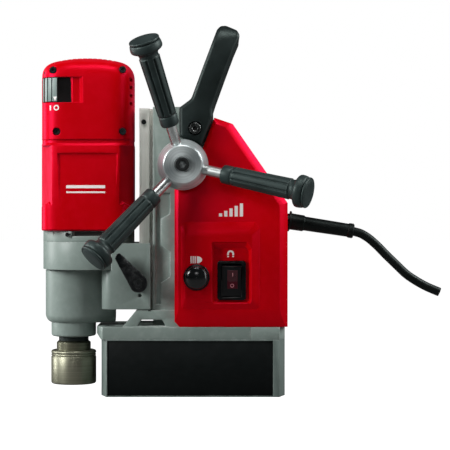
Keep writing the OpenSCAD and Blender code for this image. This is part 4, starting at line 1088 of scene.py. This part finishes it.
# ------------------------------------------------------------------ carry handle
HANDLE_ARM = [  # (x, z, corner radius), from the top down the left side and up the right
    (24.8, 331.4, 4.0), (21.6, 327.8, 6.0), (15.0, 309.9, 1.0), (9.6, 295.6, 1.0),
    (-1.4, 265.6, 9.0), (-12.1, 257.6, 3.0), (-11.9, 231.6, 2.0), (8.0, 223.4, 1.5),
    (18.1, 249.5, 3.0), (17.7, 256.1, 8.0), (20.3, 264.2, 3.0), (32.5, 297.8, 1.0),
    (37.0, 309.7, 1.0), (41.6, 320.4, 4.0), (41.4, 323.4, 2.0), (39.4, 327.0, 4.0),
    (29.4, 331.8, 5.0)]
HANDLE_BOLT = (2.1, 239.1)


def build_handle():
    """Loop over the top of the column: two arms and a cross grip."""
    arm = [(x, z) for x, z, _ in HANDLE_ARM]
    radii = [radius for _, _, radius in HANDLE_ARM]
    cross = arm[:2] + [(15.4, 311.0), (33.6, 303.6), (37.6, 311.0)] + arm[13:]
    handle = draft(soft_slab(arm, radii, -44, -30, 3.6))
    cut(handle, [soft_slab(arm, radii, 30, 44, 3.6),
                 plate(rounded(inset(cross, 0.12), [4, 6, 3, 3, 3, 3, 2, 4, 5]), -36, 36)],
        "UNION")
    cut(handle, [rod((HUB_X, HUB_Z), 22.3, (-50, 50), 96), rod(HANDLE_BOLT, 3.05, (-50, 50), 32),
                 rod(HANDLE_BOLT, 6.3, (-50, -39), 48), rod(HANDLE_BOLT, 6.3, (39, 50), 48)])

    # draw the two sides together towards the top; the level cuts give vertices to bend
    bm = bmesh.new()
    bm.from_mesh(handle.data)
    for z in range(290, 332, 3):
        bmesh.ops.bisect_plane(bm, geom=bm.verts[:] + bm.edges[:] + bm.faces[:],
                               plane_co=(0, 0, z * MM), plane_no=(0, 0, 1))
    for vert in bm.verts:
        height = vert.co.z / MM - 292
        if height > 0:
            vert.co.y *= (1 - (height / 43.0) ** 4) ** 0.25
    bm.to_mesh(handle.data)
    bm.free()
    complete(handle, "carry_loop", "handle", 50)
    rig.ride(handle, "press_frame")
    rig.replaces(handle, "carry_handle")


# ------------------------------------------------------------------ rail clamp lever
def build_clamp_lever():
    pivot = (-48.2, 101.5)
    eye = circle(*pivot, 8.1, 18, 44, -136)
    blade = [(-68.9, 123.4), (-67.8, 127.2), (-64.9, 128.6), (-42.4, 107.2)]
    outline = rounded(blade + eye, [1.2, 1.8, 1.6, 2.0] + [0] * len(eye), 4)
    lever = draft(plate(outline, -48, -42.2))
    cut(lever, [rod(pivot, 7.6, (-46, -35.3), 48)], "UNION")
    cut(lever, [rod(pivot, 3.05, (-50, -34), 32), rod(pivot, 4.3, (-50, -44.6), 40)])
    complete(lever, "clamp_lever_blade", "lever", 40)
    add_bevel(lever, width=0.8, segments=3, degrees=50)
    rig.ride(lever, "rail_clamp")
    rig.replaces(lever, "clamp_lever")


# ------------------------------------------------------------------ lower gear casting
CASTING_RINGS = [   # (z, inset)
    (64.4, 5.6), (64.7, 4.4), (65.4, 3.1), (66.4, 2.0), (67.8, 1.05), (69.4, 0.35), (71.2, 0),
    (111.9, 0), (112.1, 0.9), (112.98, 0.9)]
NECK_PROFILE = [    # (z, radius)
    (51.6, 0), (51.6, 17.6), (52.0, 19.2), (52.9, 20.1), (54.0, 20.3), (63.6, 20.3), (66, 20.3),
    (66, 0)]


def two_circle_ring(x1, r1, x2, r2, z, steps=72):
    """Level ring round two circles on the X axis, joined by their common tangents."""
    tangent = math.degrees(math.acos((r1 - r2) / (x2 - x1)))
    points = []
    for i in range(steps + 1):
        t = math.radians(tangent + (360 - 2 * tangent) * i / steps)
        points.append((x1 + r1 * math.cos(t), r1 * math.sin(t), z))
    half = steps // 2
    for i in range(half + 1):
        t = math.radians(-tangent + 2 * tangent * i / half)
        points.append((x2 + r2 * math.cos(t), r2 * math.sin(t), z))
    return points


def build_gear_casting():
    spindle, gear = (SPINDLE_X, 0), (-94.3565, 19.967)      # (x, y) of the two shafts
    casting = draft(loft([two_circle_ring(SPINDLE_X, 25.5 - d, -79.2, 11.6 - d * 0.9, z)
                          for z, d in CASTING_RINGS]))
    neck = transform(lathe(NECK_PROFILE, 96), Matrix.Translation((SPINDLE_X, 0, 0)))
    cut(casting, [neck], "UNION")
    top_recess = rod(spindle, 19.4, (95.9, 114), 64, "Z")
    cut(casting, [rod(spindle, 13.6, (50, 57), 64, "Z"), rod(spindle, 11.1, (56, 67), 48, "Z"),
                  rod(spindle, 17.6, (66, 96), 64, "Z"), top_recess])
    cut(casting, [rod(gear, 12.5, (84, 113), 64, "Z")], "UNION")
    # bore and cavity of the intermediate gear, then the holes down from the top
    cut(casting, [rod(gear, 4.06, (87.9, 97), 48, "Z"), rod(gear, 9.35, (96, 114), 64, "Z")])
    holes = ((-76.5, -16.5), (-76.5, 16.5), (SPINDLE_X - 11.25, -19.5), (SPINDLE_X - 11.25, 19.5))
    cut(casting, [rod(place, 2.02, (99, 114), 24, "Z") for place in holes])
    cut(casting, [top_recess])      # again, as the gear boss reached into it
    cut(casting, [box((-129.2, -127.6), (-30, -16), (111.2, 114)),
                  box((-71.2, -60), (-40, 40), (60, 120))])
    cut(casting, [rod((y, z), 2.52, (-78.3, -70), 24, "X") for y in (-11, 11) for z in (85, 104)])
    complete(casting, "lower_gear_casting", "cast", 30)
    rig.ride(casting, "drill_head")
    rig.replaces(casting, "gearbox_lower")


# ------------------------------------------------------------------ printed marks
# A surface is a function of (x, z) that gives y.
MARK_SINK = 0.5     # depth of a mark below its surface


def flat(y):
    return lambda x, z: y


def curved(half_width, half_depth):
    """Front of a superellipse about the motor axis."""
    def surface(x, z):
        share = min(0.995, abs(x - MOTOR_X) / half_width)
        return -half_depth * (1 - share ** TAIL_POWER) ** (1 / TAIL_POWER)
    return surface


def can_front(x, z):
    y, top = CAN_FLAT_TOP
    return y - (top - z) / CAN_FLAT_DROP * CAN_FLAT_RUN


def rocker_front(x, z):
    """Face of the tilted rocker, two slopes that meet near its middle."""
    tilt = math.radians(8)
    (z0, y0), (z1, y1), (z2, y2) = [
        (y * math.sin(tilt) + along * math.cos(tilt) + 103.9,
         y * math.cos(tilt) - along * math.sin(tilt) - 40)
        for along, y in ((-14.5, -5.5), (0, -3.4), (14.5, -5.5))]
    if z < z1:
        return y0 + (y1 - y0) * (z - z0) / (z1 - z0)
    return y1 + (y2 - y1) * (z - z1) / (z2 - z1)


def mark_part(outline, surface, lift):
    """Thin part over an outline, or over a ring given as a tuple (outer, inner)."""
    is_ring = isinstance(outline, tuple)
    points = outline[0] + outline[1] if is_ring else outline
    verts = [(x, surface(x, z) - lift, z) for x, z in points]
    verts += [(x, surface(x, z) + MARK_SINK, z) for x, z in points]
    if not is_ring:
        n = len(points)
        caps = triangles(points)
        faces = caps + [tuple(n + i for i in reversed(t)) for t in caps]
        return verts, faces + [(i, n + i, n + (i + 1) % n, (i + 1) % n) for i in range(n)]
    n = len(outline[0])
    faces = []
    for i in range(n):
        j = (i + 1) % n
        faces += [(i, j, n + j, n + i), (2 * n + i, 3 * n + i, 3 * n + j, 2 * n + j),
                  (i, 2 * n + i, 2 * n + j, j), (n + i, n + j, 3 * n + j, 3 * n + i)]
    return verts, faces


def mark(name, outlines, surface, body, key="white", lift=0.12):
    """Thin raised marks."""
    obj = join_parts(name, [mark_part(outline, surface, lift) for outline in outlines],
                     materials[key], 30)
    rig.ride(obj, body)


def ring(cx, cz, outer, inner, steps=40):
    return circle(cx, cz, outer, steps), circle(cx, cz, inner, steps)


def build_motor_marks():
    tail = curved(TAIL_HALF_WIDTH, TAIL_HALF_DEPTH)
    slider = curved(SLIDER_HALF_WIDTH, SLIDER_HALF_DEPTH)
    mark("mark_motor_on", [rectangle(-127.6093, -126.4539, 255.1930, 259.7259)],
         tail, "drill_head")
    mark("mark_motor_off", [ring(-121.5654, 257.5928, 2.5, 1.45)], tail, "drill_head")
    arrow = [(-124.5874, 267.5475), (-122.6320, 263.8145), (-121.2099, 267.5475)]
    mark("mark_slider_arrow", [arrow], slider, "motor_switch")
    left, right = -112.6773, -78.0135
    mark("mark_level_bars", [rectangle(left, right, 185.9544, 188.6209),
                             rectangle(left, right, 181.6881, 183.1102)],
         can_front, "drill_head")


def build_rising_bars():
    left, pitch, width = 23.31119, 4.62183, 2.84420
    bottom, first_top, rise = 160.8010, 163.55634, 2.22203
    mark("mark_rising_bars", [rectangle(left + pitch * k, left + pitch * k + width,
                                        bottom, first_top + rise * k) for k in range(5)],
         flat(-42.0), "press_frame")


def build_magnet_mark():
    """Horseshoe with a short bar below each leg."""
    cx, cz = 33.6365, 127.6650
    outer, inner, leg = 3.05, 1.5, 1.2
    horseshoe = circle(cx, cz, outer, 20, 0, 180)
    horseshoe += [(cx - outer, cz - leg), (cx - inner, cz - leg)]
    horseshoe += reversed(circle(cx, cz, inner, 16, 0, 180))
    horseshoe += [(cx + inner, cz - leg), (cx + outer, cz - leg)]
    mark("mark_magnet", [horseshoe,
                         rectangle(cx - outer, cx - inner, cz - 3.0, cz - 1.9),
                         rectangle(cx + inner, cx + outer, cz - 3.0, cz - 1.9)],
         flat(-39.6), "press_frame")


def build_start_mark():
    """Half ellipse with three upright bars on its left."""
    cx, cz = 3.2716, 122.4300
    half_height, bulge = 3.1, 4.6
    flat_x = cx + 0.4
    dome = [(flat_x, cz + half_height)]
    for degrees in range(15, 180, 15):
        a = math.radians(degrees)
        dome.append((flat_x + bulge * math.sin(a), cz + half_height * math.cos(a)))
    dome.append((flat_x, cz - half_height))
    bars = [rectangle(cx - 5.2 + 1.8 * k, cx - 4.2 + 1.8 * k, cz - half_height, cz + half_height)
            for k in range(3)]
    mark("mark_start", [dome] + bars, flat(PANEL_FACE_Y), "press_frame")


def build_rocker_face():
    """Lens in two halves with a hairline between them, and its two marks."""
    left, right, middle, half_gap = 30.7, 39.9, 103.43, 0.03
    mark("rocker_lens", [rectangle(left, right, 96.6, middle - half_gap),
                         rectangle(left, right, middle + half_gap, 113.2)],
         rocker_front, "magnet_rocker", key="lens", lift=0.14)
    mark("rocker_marks", [rectangle(35.15, 35.75, 107.6, 110.8),
                          ring(35.0, 99.4, 1.7, 1.15, 28)],
         rocker_front, "magnet_rocker", key="faint", lift=0.22)


# ------------------------------------------------------------------ raised switch panel
def panel_ring(y, outline, radii, steps):
    return [(x, y, z) for x, z in rounded(outline, radii, steps)]


def build_switch_panel():
    """Raised panel with sloped borders, a rocker well and a round button hole."""
    rim = [(-10.6, 78.0), (60.0, 78.0), (60.0, 150.5), (55.6, 156.2), (-10.6, 156.2)]
    face = [(-6.9, 86.4), (52.6, 86.4), (52.6, 145.2), (50.6, 148.4), (-6.9, 148.4)]
    well_mouth = [(16.2, 82.6), (52.9, 82.6), (52.9, 133.0), (48.6, 139.4), (16.2, 139.4)]
    well_floor = [(18.6, 84.6), (49.6, 84.6), (49.6, 130.0), (46.4, 134.2), (18.6, 134.2)]
    radii, well_radii = [5, 5, 3, 3, 6], [2, 2, 1.5, 1.5, 2]
    panel = draft(loft([panel_ring(PANEL_FACE_Y, face, radii, 5),
                        panel_ring(-41.9, rim, radii, 5),
                        panel_ring(-41.2, rim, radii, 5)]))
    well = loft([panel_ring(-46.6, well_mouth, well_radii, 4),
                 panel_ring(-41.0, well_floor, well_radii, 4)])
    cut(panel, [well, rod((3.4, 106.8), 11.8, (-50, -38), 64)])
    complete(panel, "switch_panel_rim", "red", 24)
    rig.ride(panel, "press_frame")


# ------------------------------------------------------------------ stage, light, camera
def build_floor():
    """Floor that the camera sees as pure white while it reflects as mid grey."""
    s = Finish("studio_floor")
    place = s.coords()
    s.set_body({
        "Base Color": (0.17, 0.17, 0.17, 1),
        "Roughness": s.remap(s.noise(place, scale=3, detail=2), between=(0.3, 0.7),
                             to=(0.62, 0.7)),
        "Emission Color": (1, 1, 1, 1),
    })
    seen = s.add("ShaderNodeLightPath").outputs["Is Camera Ray"]
    s.set_body({"Emission Strength": s.remap(seen, between=(0, 1), to=(0.0, 1.0))})

    half_width, z = 6000, -0.25
    rows = (-6000, -2000, 0, 2000, 6000)
    verts = [(x, y, z) for y in rows for x in (-half_width, half_width)]
    faces = [(2 * k, 2 * k + 1, 2 * k + 3, 2 * k + 2) for k in range(len(rows) - 1)]
    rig.stage(join_parts("floor", [(verts, faces)], s.material, 60))


def build_world(scene):
    """White to the camera, nearly dark as a light."""
    world = bpy.data.worlds.new("studio")
    world.use_nodes = True
    sky = Nodes(world.node_tree)
    background = sky.tree.nodes["Background"]
    seen = sky.add("ShaderNodeLightPath").outputs["Is Camera Ray"]
    sky.feed_all(background, {"Color": (1, 1, 1, 1),
                              "Strength": sky.remap(seen, between=(0, 1), to=(0.05, 1.0))})
    scene.world = world


def area(name, location, target, size, power, spread=180):
    """Rectangular light aimed at target: metres, watts and degrees."""
    light = bpy.data.lights.new(name, "AREA")
    light.shape = "RECTANGLE"
    light.size, light.size_y = size
    light.energy = power
    light.spread = math.radians(spread)
    obj = bpy.data.objects.new(name, light)
    bpy.context.scene.collection.objects.link(obj)
    obj.location = location
    aim = Vector(target) - Vector(location)
    obj.rotation_euler = aim.to_track_quat("-Z", "Y").to_euler()


def build_lights():
    area("key_left", location=(-1.00, -0.58, 0.60), target=(-0.07, 0, 0.24),
         size=(0.30, 0.6), power=5.4, spread=110)
    area("rim_left", location=(-1.05, 0.22, 0.36), target=(-0.1, 0, 0.19),
         size=(0.16, 0.8), power=7)
    area("rim_right", location=(0.98, -0.06, 0.80), target=(0.02, 0, 0.20),
         size=(0.20, 0.7), power=13)
    area("side_right", location=(0.95, -0.60, 0.26), target=(0.05, 0, 0.15),
         size=(0.10, 0.8), power=1.1)
    area("top", location=(0.02, -0.45, 1.12), target=(0.0, 0, 0.16),
         size=(0.5, 0.3), power=4.5)
    area("front", location=(0.0, -1.9, 0.75), target=(0.0, 0, 0.16),
         size=(0.35, 0.25), power=1.2)


def build_camera(scene):
    """Level view from the front."""
    lens = bpy.data.cameras.new("cam")
    camera = bpy.data.objects.new("cam", lens)
    scene.collection.objects.link(camera)
    camera.location = (0.0242, -1.540, 0.1728)
    camera.rotation_euler = (math.radians(90), 0, 0)
    lens.lens = 134.8
    lens.sensor_width = 36
    lens.shift_x = 0.0111
    lens.shift_y = -0.0489
    lens.clip_end = 50
    scene.camera = camera


# ------------------------------------------------------------------ build
dress_cad_pieces()
build_grips()
build_cord()
build_motor_can()
build_tail()
build_thumb_slider()
build_hub()
build_handle()
build_cord_boot()
build_clamp_lever()
build_gear_casting()
build_motor_marks()
build_rising_bars()
build_magnet_mark()
build_start_mark()
build_rocker_face()
build_switch_panel()

build_floor()
scene = bpy.context.scene
scene.view_settings.view_transform = "Standard"
scene.view_settings.look = "None"
build_world(scene)
build_lights()
build_camera(scene)

with open("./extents.json", "w") as size_file:
    json.dump({"cad": cad_box, "visual": plain_box(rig.bounds())}, size_file)
